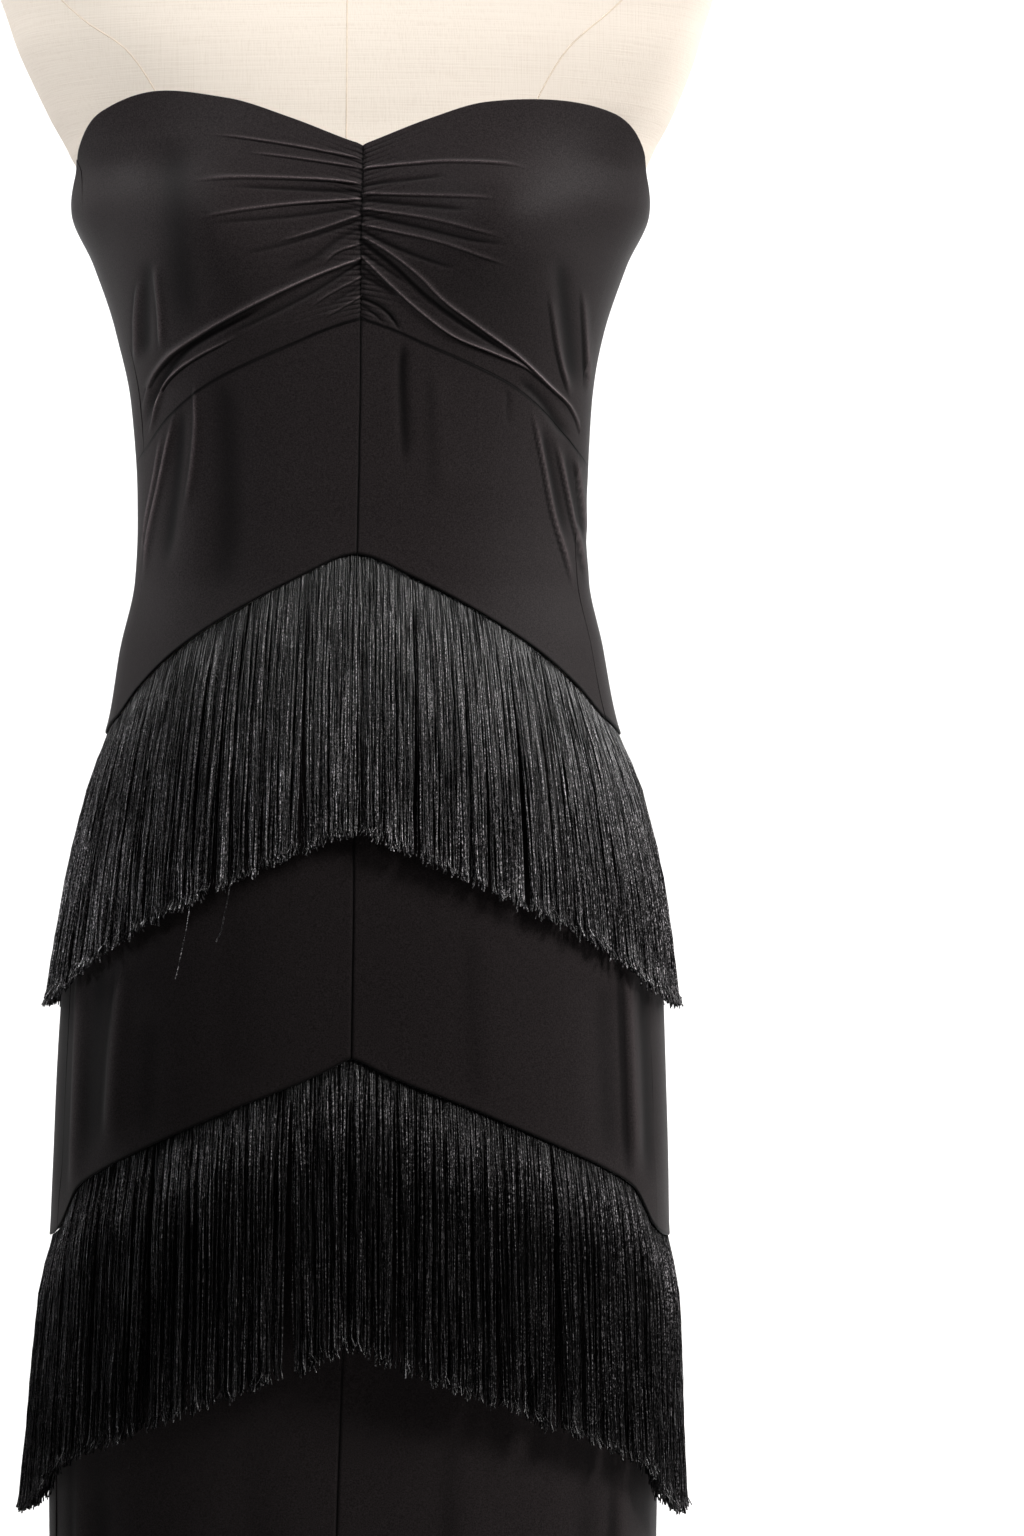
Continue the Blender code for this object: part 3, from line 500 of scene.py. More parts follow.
def creases(points, table, fade_start, count=36):
    """Outward rise of a table of creases at these points, read across the front or the back, and the
    painted shade and highlights that the creases put on the points' colour."""
    flat = points.reshape(-1, 3)
    rise = np.zeros(len(flat))
    shade = np.zeros(len(flat))
    for row in table:
        crease = dict(zip(CREASE_COLUMNS, row))
        line = spline(crease["points"], count)
        reach = CREASE_REACH * max(crease["start_width"], crease["end_width"]) / 1000
        near = (
            (flat[:, 0] > line[:, 0].min() - reach)
            & (flat[:, 0] < line[:, 0].max() + reach)
            & (flat[:, 2] > line[:, 1].min() - reach)
            & (flat[:, 2] < line[:, 1].max() + reach)
        )
        if not near.any():
            continue
        spots = flat[near][:, (0, 2)]
        a, b = line[:-1], line[1:]
        ab = b - a
        t = ((spots[:, None] - a) * ab).sum(-1) / (ab**2).sum(-1)
        t = np.clip(t, 0, 1)
        offset = spots[:, None] - (a + t[..., None] * ab)
        distance = np.linalg.norm(offset, axis=-1)
        best = distance.argmin(axis=1)
        pick = np.arange(len(spots))
        distance = distance[pick, best]
        across = np.stack([-ab[:, 1], ab[:, 0]], axis=-1)
        across = across * np.sign(across @ np.array(SHADED_WAY))[:, None]
        shaded = (offset[pick, best] * across[best]).sum(axis=-1) > 0
        along = (best + t[pick, best]) / (count - 1)
        height = (crease["start_height"] + (crease["end_height"] - crease["start_height"]) * along) / 1000
        width = (crease["start_width"] + (crease["end_width"] - crease["start_width"]) * along) / 1000
        ends = np.clip((1 - along) / END_FADE, 0, 1)
        if fade_start:
            ends = ends * np.clip(along / START_FADE, 0, 1)
        ends = ends**2 * (3 - 2 * ends)
        steep = np.where(shaded & (height > 0), SHADED_SIDE_WIDTH, 1.0)
        signed = np.where(shaded, distance, -distance)
        foot = np.exp(-(((signed - 0.6 * width) / (0.28 * width)) ** 2))
        middle = np.exp(-((distance / (0.6 * width)) ** 2))
        rise[near] += height * ends * np.exp(-((distance / (width * steep)) ** 2))
        rise[near] -= np.maximum(height, 0) * FOOT_DIP * ends * foot
        crest = np.exp(-(((signed + 0.15 * width) / (0.4 * width)) ** 2))
        depth = np.minimum(np.abs(height) / FULL_HEIGHT, np.where(height > 0, RIDGE_MOST, TROUGH_MOST))
        depth = depth * np.minimum(FULL_TONE_WIDTH / width, 1)
        glint = CREST_GLINT * np.minimum(GLINT_WIDTH / width, GLINT_MOST)
        # A ridge gets painted shade at its foot and a painted highlight on its crest; a trough gets painted
        # shade in its middle
        tone_and_painted_light = np.where(height > 0, FOOT_SHADE * foot - glint * crest, TROUGH_SHADE * middle)
        shade[near] += depth * ends * tone_and_painted_light
    return rise.reshape(points.shape[:-1]), shade.reshape(points.shape[:-1])


def waves(points, seed, size, height):
    """Soft uneven relief: a sum of slanting waves, the same on each run."""
    dice = np.random.default_rng(seed)
    total = np.zeros(points.shape[:-1])
    for k in range(7):
        way = dice.normal(size=3)
        way /= np.linalg.norm(way)
        pace = 2 * math.pi / (size * dice.uniform(0.6, 1.6))
        total += np.sin(points @ way * pace + dice.uniform(0, 6.3)) / 7
    return total * height


def principled(name, colour, roughness, **values):
    """A material, its node tree and its shader."""
    made = bpy.data.materials.new(name)
    made.use_nodes = True
    shader = made.node_tree.nodes["Principled BSDF"]
    shader.inputs["Base Color"].default_value = (*colour, 1)
    shader.inputs["Roughness"].default_value = roughness
    for key, value in values.items():
        shader.inputs[key.replace("_", " ")].default_value = value
    return made, made.node_tree, shader


def add_bump(tree, shader, height_socket, strength, distance):
    bump = tree.nodes.new("ShaderNodeBump")
    bump.inputs["Strength"].default_value = strength
    bump.inputs["Distance"].default_value = distance
    tree.links.new(height_socket, bump.inputs["Height"])
    tree.links.new(bump.outputs["Normal"], shader.inputs["Normal"])


def noise(tree, scale, stretch=(1, 1, 1), detail=2.0):
    """Noise that is fixed to the object."""
    place = tree.nodes.new("ShaderNodeTexCoord")
    mapping = tree.nodes.new("ShaderNodeMapping")
    mapping.inputs["Scale"].default_value = stretch
    texture = tree.nodes.new("ShaderNodeTexNoise")
    texture.inputs["Scale"].default_value = scale
    texture.inputs["Detail"].default_value = detail
    tree.links.new(place.outputs["Object"], mapping.inputs["Vector"])
    tree.links.new(mapping.outputs["Vector"], texture.inputs["Vector"])
    return texture.outputs["Fac"]


def mix_colour(tree, shader, factor, dark, light, low=0.3, high=0.7):
    ramp = tree.nodes.new("ShaderNodeValToRGB")
    ramp.color_ramp.elements[0].position = low
    ramp.color_ramp.elements[0].color = (*dark, 1)
    ramp.color_ramp.elements[1].position = high
    ramp.color_ramp.elements[1].color = (*light, 1)
    tree.links.new(factor, ramp.inputs["Fac"])
    tree.links.new(ramp.outputs["Color"], shader.inputs["Base Color"])


def tone_value(tree):
    """How light a point is painted, as the mesh's own per-point attribute of painted light and shade says.
    """
    tone_and_painted_light = tree.nodes.new("ShaderNodeAttribute")
    tone_and_painted_light.attribute_name = "tone_and_painted_light"
    return tone_and_painted_light.outputs["Fac"]


def toned_colour(tree, shader, factor, dark, light, low, high):
    """Colour between dark and light by the factor, times the per-point attribute, which holds painted light
    and shade, and on the strands their own random darkness too.
    """
    mix_colour(tree, shader, factor, dark, light, low, high)
    colour = shader.inputs["Base Color"].links[0].from_socket
    scale = tree.nodes.new("ShaderNodeVectorMath")
    scale.operation = "SCALE"
    tree.links.new(colour, scale.inputs[0])
    tree.links.new(tone_value(tree), scale.inputs["Scale"])
    tree.links.new(scale.outputs["Vector"], shader.inputs["Base Color"])


def jersey_material():
    made, tree, shader = principled(
        "jersey", (0.012, 0.0102, 0.0104), JERSEY_ROUGHNESS, Specular_IOR_Level=0.04, Sheen_Weight=0.12
    )
    knit = noise(tree, 1400, detail=3)
    # Knit grain, times the painted shade and highlights that the mesh carries
    toned_colour(tree, shader, knit, (0.0120, 0.0094, 0.0096), (0.0330, 0.0268, 0.0275), 0.3, 0.7)
    add_bump(tree, shader, noise(tree, 1800, detail=2), 0.35, 0.0002)
    return made


def fringe_material():
    made, tree, shader = principled(
        "fringe_yarn", (0.02, 0.019, 0.0195), YARN_ROUGHNESS, Specular_IOR_Level=0.6
    )
    # The light specks in the yarn's colour are partly its twisted beads and partly painted sparkle
    # highlights on them
    beads_and_painted_sparkle = noise(tree, 1300, (1, 1, 0.7), 2)
    toned_colour(tree, shader, beads_and_painted_sparkle, (0.0020, 0.0018, 0.0020), (0.300, 0.286, 0.297), 0.52, 0.62)
    add_bump(tree, shader, noise(tree, 1500, (1, 1, 0.6), 2), 0.6, 0.0004)
    return made


def linen_material():
    made, tree, shader = principled("linen", (0.88, 0.79, 0.68), 0.9, Specular_IOR_Level=0.15)
    across = noise(tree, 150, (0.2, 0.2, 9), 3)
    up = noise(tree, 150, (9, 9, 0.2), 3)
    add = tree.nodes.new("ShaderNodeMath")
    add.operation = "ADD"
    tree.links.new(across, add.inputs[0])
    tree.links.new(up, add.inputs[1])
    mix_colour(tree, shader, add.outputs[0], (0.865, 0.770, 0.665), (0.912, 0.822, 0.718), 0.70, 1.20)
    add_bump(tree, shader, add.outputs[0], 0.3, 0.0005)
    return made


def plain_material(name, colour, roughness, metallic=0.0):
    made, tree, shader = principled(name, colour, roughness, Metallic=metallic)
    light = tuple(min(1, c * 1.15) for c in colour)
    mix_colour(tree, shader, noise(tree, 60, (1, 1, 6), 3), colour, light)
    return made


def linked(name, points, faces, material, tone_and_painted_light=None):
    """A smooth mesh object in the scene, with a value for each point if one is given, which holds painted
    light and shade.
    """
    mesh = bpy.data.meshes.new(name)
    points = np.asarray(points, np.float32)
    faces = np.asarray(faces, np.int32)
    mesh.vertices.add(len(points))
    mesh.vertices.foreach_set("co", points.ravel())
    sides = faces.shape[1]
    mesh.loops.add(faces.size)
    mesh.loops.foreach_set("vertex_index", faces.ravel())
    mesh.polygons.add(len(faces))
    mesh.polygons.foreach_set("loop_start", np.arange(0, faces.size, sides, dtype=np.int32))
    mesh.polygons.foreach_set("loop_total", np.full(len(faces), sides, np.int32))
    mesh.update(calc_edges=True)
    mesh.validate()
    mesh.shade_smooth()
    mesh.materials.append(material)
    if tone_and_painted_light is not None:
        layer = mesh.attributes.new("tone_and_painted_light", "FLOAT", "POINT")
        layer.data.foreach_set("value", np.asarray(tone_and_painted_light, np.float32).ravel())
    made = bpy.data.objects.new(name, mesh)
    bpy.context.scene.collection.objects.link(made)
    return made


def grid_faces(rows, columns, closed=False):
    """Faces of a grid of points. A closed one joins its last column to its first."""
    r = np.arange(rows - 1)[:, None]
    last = columns if closed else columns - 1
    c = np.arange(last)[None, :]
    n = (c + 1) % columns
    a = r * columns + c
    b = r * columns + n
    return np.stack([a, b, b + columns, a + columns], axis=-1).reshape(-1, 4)


def crowded(count, crowd_start, crowd_end, amount):
    """Shares from 0 to 1, closer together at the ends named."""
    even = np.linspace(0, 1, count)
    if crowd_start and crowd_end:
        close = (1 - np.cos(math.pi * even)) / 2
    elif crowd_start:
        close = even**2
    elif crowd_end:
        close = 1 - (1 - even) ** 2
    else:
        close = even
    return even + (close - even) * amount


def spaced_angles(start, end, shares, z):
    """Angles at these shares of the way round the figure at one height."""
    fine = np.linspace(start, end, 600)
    line = figure(fine, z)
    length = np.concatenate([[0], np.cumsum(np.linalg.norm(np.diff(line, axis=0), axis=1))])
    return np.interp(shares * length[-1], length, fine)


def edge_turn(points, normals, up, over):
    """Rows that turn a cloth edge in and under. over is +1 at a top edge and -1 at a bottom one."""
    rows = []
    for degrees in TURN_DEGREES:
        a = math.radians(degrees)
        out = up * over * TURN_RADIUS * math.sin(a)
        rows.append(points + out - normals * TURN_RADIUS * (1 - math.cos(a)))
    for depth in (0.35, 1.0):
        rows.append(points - normals * TURN_RADIUS * 2 - up * over * TURN_DEPTH * depth)
    return rows


def panel(
    node, start, end, top, bottom, rows, columns, material, relief,
    under_fringe=False, lip=0.0, centre_shade=CENTRE_SHADE,
):
    """A sheet of cloth on its CAD panel's form, with turned edges at the top and bottom and flaps at
    the sides. Also gives its width, length and area."""
    level = float(np.mean(edge_height(bottom, np.linspace(start, end, 50))))
    angle = spaced_angles(start, end, crowded(columns, start == 0, end == 0, CENTRE_CROWDING), level)[None]
    share = crowded(rows, True, True, EDGE_CROWDING)[:, None]
    low = edge_height(bottom, angle) + (SEAM_DROP if bottom is not HEM else 0)
    high = edge_height(top, angle) - (SEAM_DROP if top is not NECKLINE else 0)
    z = low + (high - low) * share
    points = figure(angle, z)
    normals, _ = outward(angle, z)
    rise, shade = relief(points, share, angle)
    rise = np.where(rise < 0, DEEPEST * np.tanh(rise / DEEPEST), rise)
    if under_fringe:
        rise = rise * below(top, angle, z)
        rise = rise - (CLOTH + SEAM_GAP) * (1 - below(top, angle, z))
    across = np.cumsum(np.linalg.norm(np.diff(points, axis=1), axis=-1), axis=1)
    across = np.concatenate([np.zeros((rows, 1)), across], axis=1)
    # Painted shade in the centre front seam, where the cloth dips in
    for edge, distance in ((start, across), (end, across[:, -1:] - across)):
        centre = abs(math.sin(edge)) < 1e-6
        depth, shadow = (CENTRE_GROOVE, centre_shade) if centre else (0.0, 0.0)
        line = np.exp(-((distance / SEAM_LINE) ** 2))
        rise = rise - depth * line
        shade = shade + shadow * line
    if lip:
        rise = rise + lip * np.exp(-((z - low) / LIP_REACH))
    # Painted shade along the seams round the figure, where the panels meet
    for edge, distance in ((bottom, z - low), (top, high - z)):
        if edge is not HEM and edge is not NECKLINE:
            shade = shade + SEAM_SHADE * np.exp(-((distance / SEAM_LINE) ** 2))
    points = points + normals * rise[..., None]
    up = unit(np.gradient(points, axis=0))
    above = edge_turn(points[-1], normals[-1], up[-1], 1)
    under = edge_turn(points[0], normals[0], up[0], -1)
    every = np.concatenate([np.stack(under[::-1]), points, np.stack(above)])

    def with_turns(values):
        low_turn, high_turn = np.repeat(values[:1], len(under), 0), np.repeat(values[-1:], len(above), 0)
        return np.concatenate([low_turn, values, high_turn])

    shade, normals = with_turns(shade), with_turns(normals)
    side_start = [every[:, :1] - normals[:, :1] * CLOTH, every[:, :1]]
    side_end = [every[:, -1:], every[:, -1:] - normals[:, -1:] * CLOTH]
    every = np.concatenate([*side_start, every, *side_end], axis=1)
    shade = np.concatenate([shade[:, [0, 0]], shade, shade[:, [-1, -1]]], axis=1)
    faces = grid_faces(len(every), columns + 4).reshape(len(every) - 1, columns + 3, 4)
    faces = np.delete(faces, (1, columns + 1), axis=1).reshape(-1, 4)
    # The painted shade and highlights go on as a factor on each point's colour
    made = linked(node + "_cloth", every.reshape(-1, 3), faces, material, np.exp(-shade))
    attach(made, "root")
    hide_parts(node)
    width = float(across[:, -1].max())
    length = float((high - low).max())
    area = float((across[:, -1] * np.median(high - low)).mean())
    return made, width, length, area


def plain_relief(seed, height):
    """The long folds with a soft unevenness."""

    def relief(points, share, angle):
        rise, shade = creases(points, LONG_FOLDS, True)
        return rise + waves(points, seed, 0.09, height), shade

    return relief


def back_relief(seed, height):
    """The back's own folds, and the front's where the back piece comes round the side."""

    def relief(points, share, angle):
        behind = points[..., 1] > 0
        rise, shade = creases(points, BACK_FOLDS, True)
        front_rise, front_shade = creases(points, LONG_FOLDS, True)
        rise = np.where(behind, rise, front_rise)
        shade = np.where(behind, shade, front_shade)
        return rise + waves(points, seed, 0.10, height), shade

    return relief


def ruched_relief(seed):
    """Fine puckers at the centre front seam, with the creases that run out from it, and the painted shade
    and highlights of both.
    """

    def relief(points, share, angle):
        across = np.abs(points[..., 0] - GATHER_SEAM_X)
        dice = np.random.default_rng(seed)
        slow = sum(np.sin(share * 2 * math.pi * k + dice.uniform(0, 6)) / k for k in (2, 3, 5))
        phase = share * math.pi * PUCKERS + 0.8 * slow
        height = 0.7 + 0.3 * np.sin(share * 31 + seed)
        reach = 0.010 + 0.010 * (0.5 + 0.5 * np.sin(share * 47 + seed * 2))
        bulge = np.abs(np.sin(phase)) ** 0.7
        pucker = PUCKER_HEIGHT * height * (bulge - 0.6) * np.exp(-across / reach)
        # Painted shade in the valleys between the puckers, a painted highlight on their tops, and painted
        # shade in the seam groove
        dark = PUCKER_PAINTED_SHADE * (1 - bulge) ** 2 * np.exp(-across / PUCKER_SHADE_REACH)
        light = PUCKER_PAINTED_HIGHLIGHT * bulge**2 * np.exp(-across / PUCKER_HIGHLIGHT_REACH)
        seam = np.exp(-((across / GATHER_GROOVE_WIDTH) ** 2))
        rise, shade = creases(points, RUCHING, False)
        rise = rise * np.clip((across + 0.002) / 0.006, 0.35, 1)
        calm = np.clip((1 - share) / 0.05, 0, 1) * np.clip(share / 0.04, 0, 1)
        long_rise, long_shade = creases(points, LONG_FOLDS, True)
        uneven = waves(points, 9, 0.06, 0.0005)
        rise = (pucker + rise) * calm - GATHER_GROOVE * seam + long_rise + uneven
        return rise, (shade + (dark - light)) * calm + long_shade + 0.5 * seam

    return relief


def slide_down(angle, z, drop):
    """Angle of a thread that slides this far straight down the figure's slope."""
    step = 1e-3
    low = z - drop
    around = (figure(angle + step, low) - figure(angle - step, low)) / (2 * step)
    slip = figure(angle, low) - figure(angle, z)
    return angle - (slip * around * (1, 1, 0)).sum(-1) / (around**2 * (1, 1, 0)).sum(-1)


def fringe(node, start, end, seam, flare, painted_light_table, material, seed, strays=()):
    """Loose twisted strands that hang from under a seam, as one mesh of thin tubes."""
    dice = np.random.default_rng(seed)
    angles = np.linspace(start, end, 500)
    line = figure(angles, edge_height(seam, angles))
    length = np.concatenate([[0], np.cumsum(np.linalg.norm(np.diff(line, axis=0), axis=1))])
    total = length[-1]
    count = int(total / STRAND_PITCH)
    place = np.sort(dice.uniform(0, total, count))
    layer = dice.uniform(*LAYERS, count) ** 0.7
    shares = np.append(np.linspace(0, 0.97, STRAND_SAMPLES - 1), 1)
    long = FRINGE_LENGTH * (1 + dice.normal(0, LENGTH_SPREAD, count) - 0.03 * (1 - layer))
    clumps = np.sort(dice.uniform(0, total, int(total / CLUMP_PITCH)))
    nearest = clumps[np.abs(place[:, None] - clumps[None]).argmin(axis=1)]
    pull = (nearest - place) * dice.uniform(*CLUMP_PULL, count)
    pull = pull * np.clip(np.minimum(place, total - place) / CLUMP_MARGIN, 0, 1)
    sway = dice.normal(0, SWAY, count)
    bow = dice.normal(0, BOW, count)
    beat = dice.uniform(0, 6.3, count)
    curl = dice.normal(0, CURL, (count, 2))
    lean = np.zeros(count)
    for stray_x, extra, stray_lean in strays:
        k = np.abs(np.interp(place, length, line[:, 0]) - stray_x).argmin()
        long[k] += extra
        lean[k] = stray_lean
        layer[k] = 1.0
    flare_shares = column(flare, STRAND_COLUMNS, "share")
    flare_values = column(flare, STRAND_COLUMNS, "value")
    painted_light_shares = column(painted_light_table, STRAND_COLUMNS, "share")
    painted_light_values = column(painted_light_table, STRAND_COLUMNS, "value")
    angle = np.interp(place, length, angles)
    height = edge_height(seam, angle) - HEADER_GAP
    centre = np.zeros((count, STRAND_SAMPLES, 3))
    for k, share in enumerate(shares):
        if k:
            fall = long * (share - shares[k - 1])
            angle = slide_down(angle, height, fall)
            height = height - fall
        normal, along = outward(angle, height)
        aside = pull * share**0.8 + sway * share**1.5 + bow * math.sin(math.pi * share)
        aside = aside + 0.0002 * np.sin(beat + share * 21) + lean * max(0, share - 0.8) / 0.2
        out = -ROOT_DEPTH + smooth(flare_shares, flare_values, share) * (0.25 + 0.75 * layer)
        out = out + 0.0004 * np.sin(beat * 2 + share * 17)
        if k == STRAND_SAMPLES - 1:
            aside = aside + curl[:, 0]
            out = out + np.abs(curl[:, 1])
        centre[:, k] = figure(angle, height) + normal * out[:, None] + along * aside[:, None]
    way = unit(np.gradient(centre, axis=1))
    side = unit(np.cross(way, np.array([0.31, -0.95, 0.05])))
    front = np.cross(side, way)
    radius = STRAND_RADIUS * dice.uniform(*THICKNESSES, (count, 1)) * np.ones((1, STRAND_SAMPLES))
    radius[:, -1] *= TIP_SWELL
    # Deeper strands are darker: painted shade between the strands. Each strand is also lighter or darker at
    # random, and along its length it gets painted light and shade
    tone_and_painted_light = (0.15 + 0.85 * layer**2) * dice.uniform(*TONES, count)
    tone_and_painted_light = tone_and_painted_light[:, None] * (0.8 + 0.4 * np.sin(beat[:, None] * 3 + shares * 9))
    tone_and_painted_light = tone_and_painted_light * smooth(painted_light_shares, painted_light_values, shares)
    rings = []
    for j in range(STRAND_SIDES):
        turn = 2 * math.pi * j / STRAND_SIDES + beat[:, None] + STRAND_TWIST * shares[None]
        ring = side * np.cos(turn)[..., None] + front * np.sin(turn)[..., None]
        rings.append(centre + ring * radius[..., None])
    points = np.stack(rings, axis=2).reshape(-1, 3)
    one = grid_faces(STRAND_SAMPLES, STRAND_SIDES, True)
    step = STRAND_SAMPLES * STRAND_SIDES
    faces = (one[None] + np.arange(count)[:, None, None] * step).reshape(-1, 4)
    tone_and_painted_light = np.repeat(tone_and_painted_light[..., None], STRAND_SIDES, axis=2)
    made = linked(node + "_strands", points, faces, material, tone_and_painted_light)
    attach(made, "root")
    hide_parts(node)
    return made


def torso_surface(angle, z):
    """Points of the torso, which lies inside the cloth, and the normals there."""
    heights = column(FORM_INSET, FORM_INSET_COLUMNS, "height")
    inset = smooth(heights, column(FORM_INSET, FORM_INSET_COLUMNS, "inset"), z)
    normal, _ = outward(angle, z)
    sideways = normal * (1, 1, 0)
    slant = np.maximum((sideways**2).sum(axis=-1, keepdims=True), SHOULDER_SLANT)
    return figure(angle, z) - sideways / slant * (CLOTH + FORM_EASE + inset)[..., None], normal


def torso(material):
    """The linen torso, closed at the bottom and at the neck."""
    shares = np.linspace(0, 1, TORSO_LINES_ROUND + 1)
    angle = spaced_angles(0, 2 * math.pi, shares, TORSO_SPACED_AT)[None, :-1]
    lower = [np.linspace(low, high, count + 1)[:-1] for low, high, count in TORSO_ROWS[:-1]]
    z = np.concatenate([*lower, np.linspace(*TORSO_ROWS[-1])])[:, None] * np.ones(angle.shape)
    points, _ = torso_surface(angle, z)
    made = linked("form_torso_linen", points.reshape(-1, 3), grid_faces(*z.shape, True), material)
    edit = bmesh.new()
    edit.from_mesh(made.data)
    bmesh.ops.holes_fill(edit, edges=[e for e in edit.edges if e.is_boundary], sides=0)
    edit.to_mesh(made.data)
    edit.free()
    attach(made, "root")
    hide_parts("form_torso")


def form_surface(x, z):
    """Point and normal on the front of the torso at this x and z."""
    angles = np.linspace(-math.pi / 2, math.pi / 2, 1500)
    angle = np.interp(x, figure(angles, z)[:, 0], angles)
    point, normal = torso_surface(np.array([angle]), np.array([z]))
    return point[0], normal[0]


def form_seams(material):
    """The torso's seams, as fine raised ridges."""
    points, faces = [], []
    sides = FORM_SEAM_SIDES
    half_width, half_height = FORM_SEAM_SIZE
    for seam in FORM_SEAMS:
        spots = [form_surface(x, z) for x, z in spline(seam, FORM_SEAM_SAMPLES)]
        centre = np.array([p + n * -0.0001 for p, n in spots])
        normal = np.array([n for _, n in spots])
        way = unit(np.gradient(centre, axis=0))
        side = unit(np.cross(way, normal))
        start = len(points)
        for k in range(len(centre)):
            for j in range(sides):
                a = 2 * math.pi * j / sides
                out = side[k] * half_width * math.cos(a) + normal[k] * half_height * math.sin(a)
                points.append(centre[k] + out)
        for k in range(len(centre) - 1):
            for j in range(sides):
                n = (j + 1) % sides
                a, b = start + k * sides + j, start + k * sides + n
                faces.append((a, b, b + sides, a + sides))
    made = linked("form_seam_lines", points, faces, material)
    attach(made, "root")


def aim(thing, at, target):
    thing.location = at
    thing.rotation_euler = (Vector(target) - Vector(at)).to_track_quat("-Z", "Y").to_euler()


def area_light(name, at, target, size, power, colour, spread):
    data = bpy.data.lights.new(name, "AREA")
    data.shape = "RECTANGLE"
    data.size, data.size_y = size
    data.energy = power
    data.color = colour
    data.spread = math.radians(spread)
    made = bpy.data.objects.new(name, data)
    bpy.context.scene.collection.objects.link(made)
    aim(made, at, target)


def backdrop():
    """A white floor that curves up into a wall behind the dress."""
    profile = [(PAPER_FRONT, 0.0), (PAPER_BEND, 0.0)]
    for k in range(1, 13):
        a = math.radians(k * 7.5)
        y = PAPER_BEND + PAPER_RADIUS * math.sin(a)
        profile.append((y, PAPER_RADIUS - PAPER_RADIUS * math.cos(a)))
    profile.append((PAPER_BEND + PAPER_RADIUS, PAPER_TOP))
    xs = np.linspace(*PAPER_X, 5)
    points = [(x, y, z) for y, z in profile for x in xs]
    paper, _, _ = principled("white_paper", (0.90, 0.90, 0.90), 0.9, Specular_IOR_Level=0.1)
    linked("floor", points, grid_faces(len(profile), len(xs)), paper)


def studio():
    """The world and the lights. The world lights the scene dimly, and the camera sees it as plain grey."""
    scene = bpy.context.scene
    world = bpy.data.worlds.new("studio")
    scene.world = world
    world.use_nodes = True
    nodes, links = world.node_tree.nodes, world.node_tree.links
    sky = nodes["Background"]
    sky.inputs["Color"].default_value = (1.0, 0.99, 0.98, 1)
    sky.inputs["Strength"].default_value = WORLD_LIGHT
    grey = nodes.new("ShaderNodeBackground")
    grey.inputs["Color"].default_value = SURROUND
    seen = nodes.new("ShaderNodeLightPath")
    mix = nodes.new("ShaderNodeMixShader")
    links.new(seen.outputs["Is Camera Ray"], mix.inputs["Fac"])
    links.new(sky.outputs["Background"], mix.inputs[1])
    links.new(grey.outputs["Background"], mix.inputs[2])
    links.new(mix.outputs["Shader"], nodes["World Output"].inputs["Surface"])
    for row in LIGHTS:
        area_light(**dict(zip(LIGHT_COLUMNS, row)))
    scene.view_settings.view_transform = "Standard"


def camera():
    data = bpy.data.cameras.new("camera")
    made = bpy.data.objects.new("camera", data)
    bpy.context.scene.collection.objects.link(made)
    data.sensor_fit = "VERTICAL"
    data.sensor_width, data.sensor_height = SENSOR
    data.lens = FOCAL_PIXELS / PICTURE_HEIGHT * SENSOR[1]
    data.clip_start = 0.05
    made.matrix_world = Matrix.Translation(CAMERA_AT) @ Matrix.Rotation(math.pi / 2, 4, "X")
    bpy.context.scene.camera = made


def fringe_tier(prefix, seam, flare, painted_light_table, material, seed, strays=()):
    """The fringe of one seam, by piece. Stray threads hang from the front right."""
    made = {}
    for k, (place, start, end) in enumerate(PIECES):
        loose = strays if place == "front_right" else ()
        name = f"{prefix}_fringe_{place}"
        made[place] = fringe(name, start, end, seam, flare, painted_light_table, material, seed + k, loose)
    return made


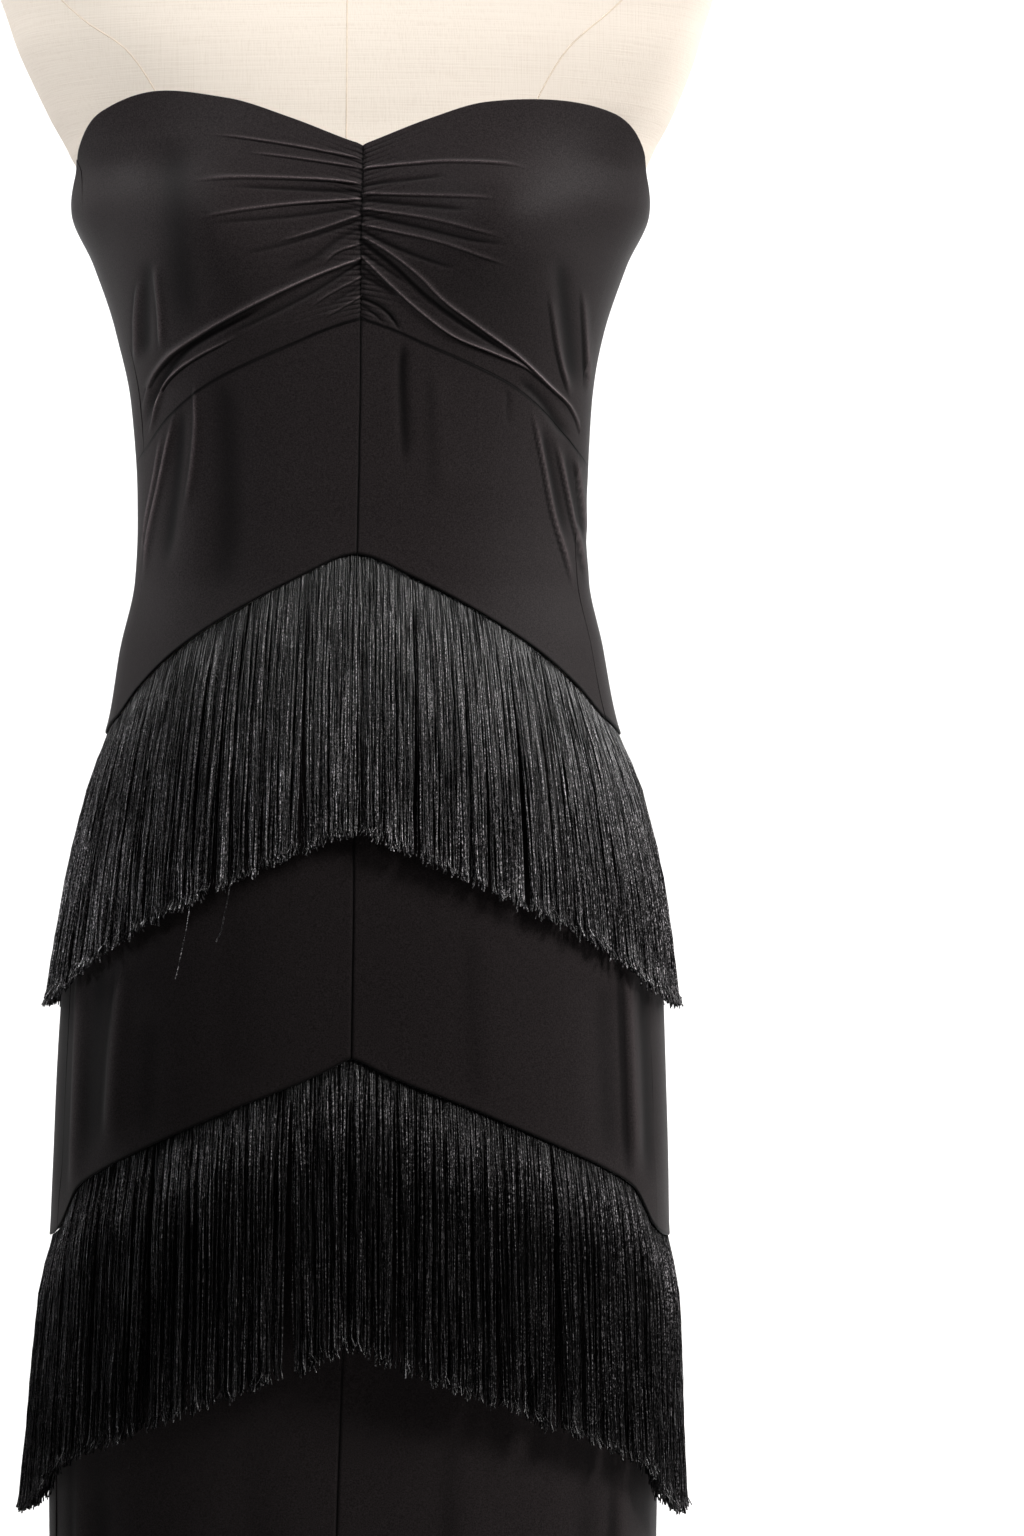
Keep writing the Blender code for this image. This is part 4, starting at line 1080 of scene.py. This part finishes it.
def cloth_tier(prefix, top, bottom, rows, columns, material, reliefs, hung=None, gather=1.0, **more):
    """The sheets between two seams. rows, columns and reliefs have one value for each of PIECES. hung, the
    fringe that goes with the sheets, is not used. gather, how much longer the fronts are cut, is not used."""
    for k, (place, start, end) in enumerate(PIECES):
        piece, width, length, area = panel(
            f"{prefix}_{place}", start, end, top, bottom, rows[k], columns[k], material, reliefs[k], **more
        )


def fringes():
    yarn = fringe_material()
    upper = fringe_tier("upper", UPPER_FRINGE_SEAM, UPPER_FLARE, UPPER_PAINTED_LIGHT, yarn, 11, STRAYS)
    lower = fringe_tier("lower", LOWER_FRINGE_SEAM, LOWER_FLARE, LOWER_PAINTED_LIGHT, yarn, 21)
    return upper, lower


def cloth(upper, lower):
    """All the sheets of the dress, from the top down."""
    jersey = jersey_material()
    back = back_relief(31, 0.0006)
    soft = plain_relief(41, 0.0005)
    loose = plain_relief(61, 0.0010)
    cloth_tier(
        "bodice", NECKLINE, UNDERBUST_SEAM, (300, 300, 50), (150, 150, 160), jersey,
        (ruched_relief(3), ruched_relief(5), back), gather=GATHER_FULLNESS, centre_shade=BODICE_CENTRE_SHADE,
    )
    cloth_tier(
        "midriff", UNDERBUST_SEAM, UPPER_FRINGE_SEAM, (70, 70, 40), (130, 130, 150), jersey,
        (soft, soft, back), upper, lip=SEAM_LIP,
    )
    cloth_tier(
        "skirt", UPPER_FRINGE_SEAM, LOWER_FRINGE_SEAM, (110, 110, 60), (100, 100, 150), jersey,
        (soft, soft, back), lower, under_fringe=True, lip=SEAM_LIP,
    )
    cloth_tier(
        "lower_skirt", LOWER_FRINGE_SEAM, HEM, (80, 80, 50), (90, 90, 150), jersey,
        (loose, loose, back_relief(63, 0.0012)), under_fringe=True,
    )


def dress_form():
    linen = linen_material()
    seam_linen = plain_material("linen_seam", (0.78, 0.66, 0.53), 0.9)
    steel = plain_material("steel", (0.42, 0.42, 0.43), 0.35, 1.0)
    wood = plain_material("wood", (0.50, 0.36, 0.22), 0.45)
    torso(linen)
    form_seams(seam_linen)
    for name, material in (("form_neck_cap", wood), ("form_pole", steel), ("form_base", steel)):
        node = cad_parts[name]
        node.data.materials.clear()
        node.data.materials.append(material)


upper_fringe, lower_fringe = fringes()
dress_form()
cloth(upper_fringe, lower_fringe)
backdrop()
studio()
camera()
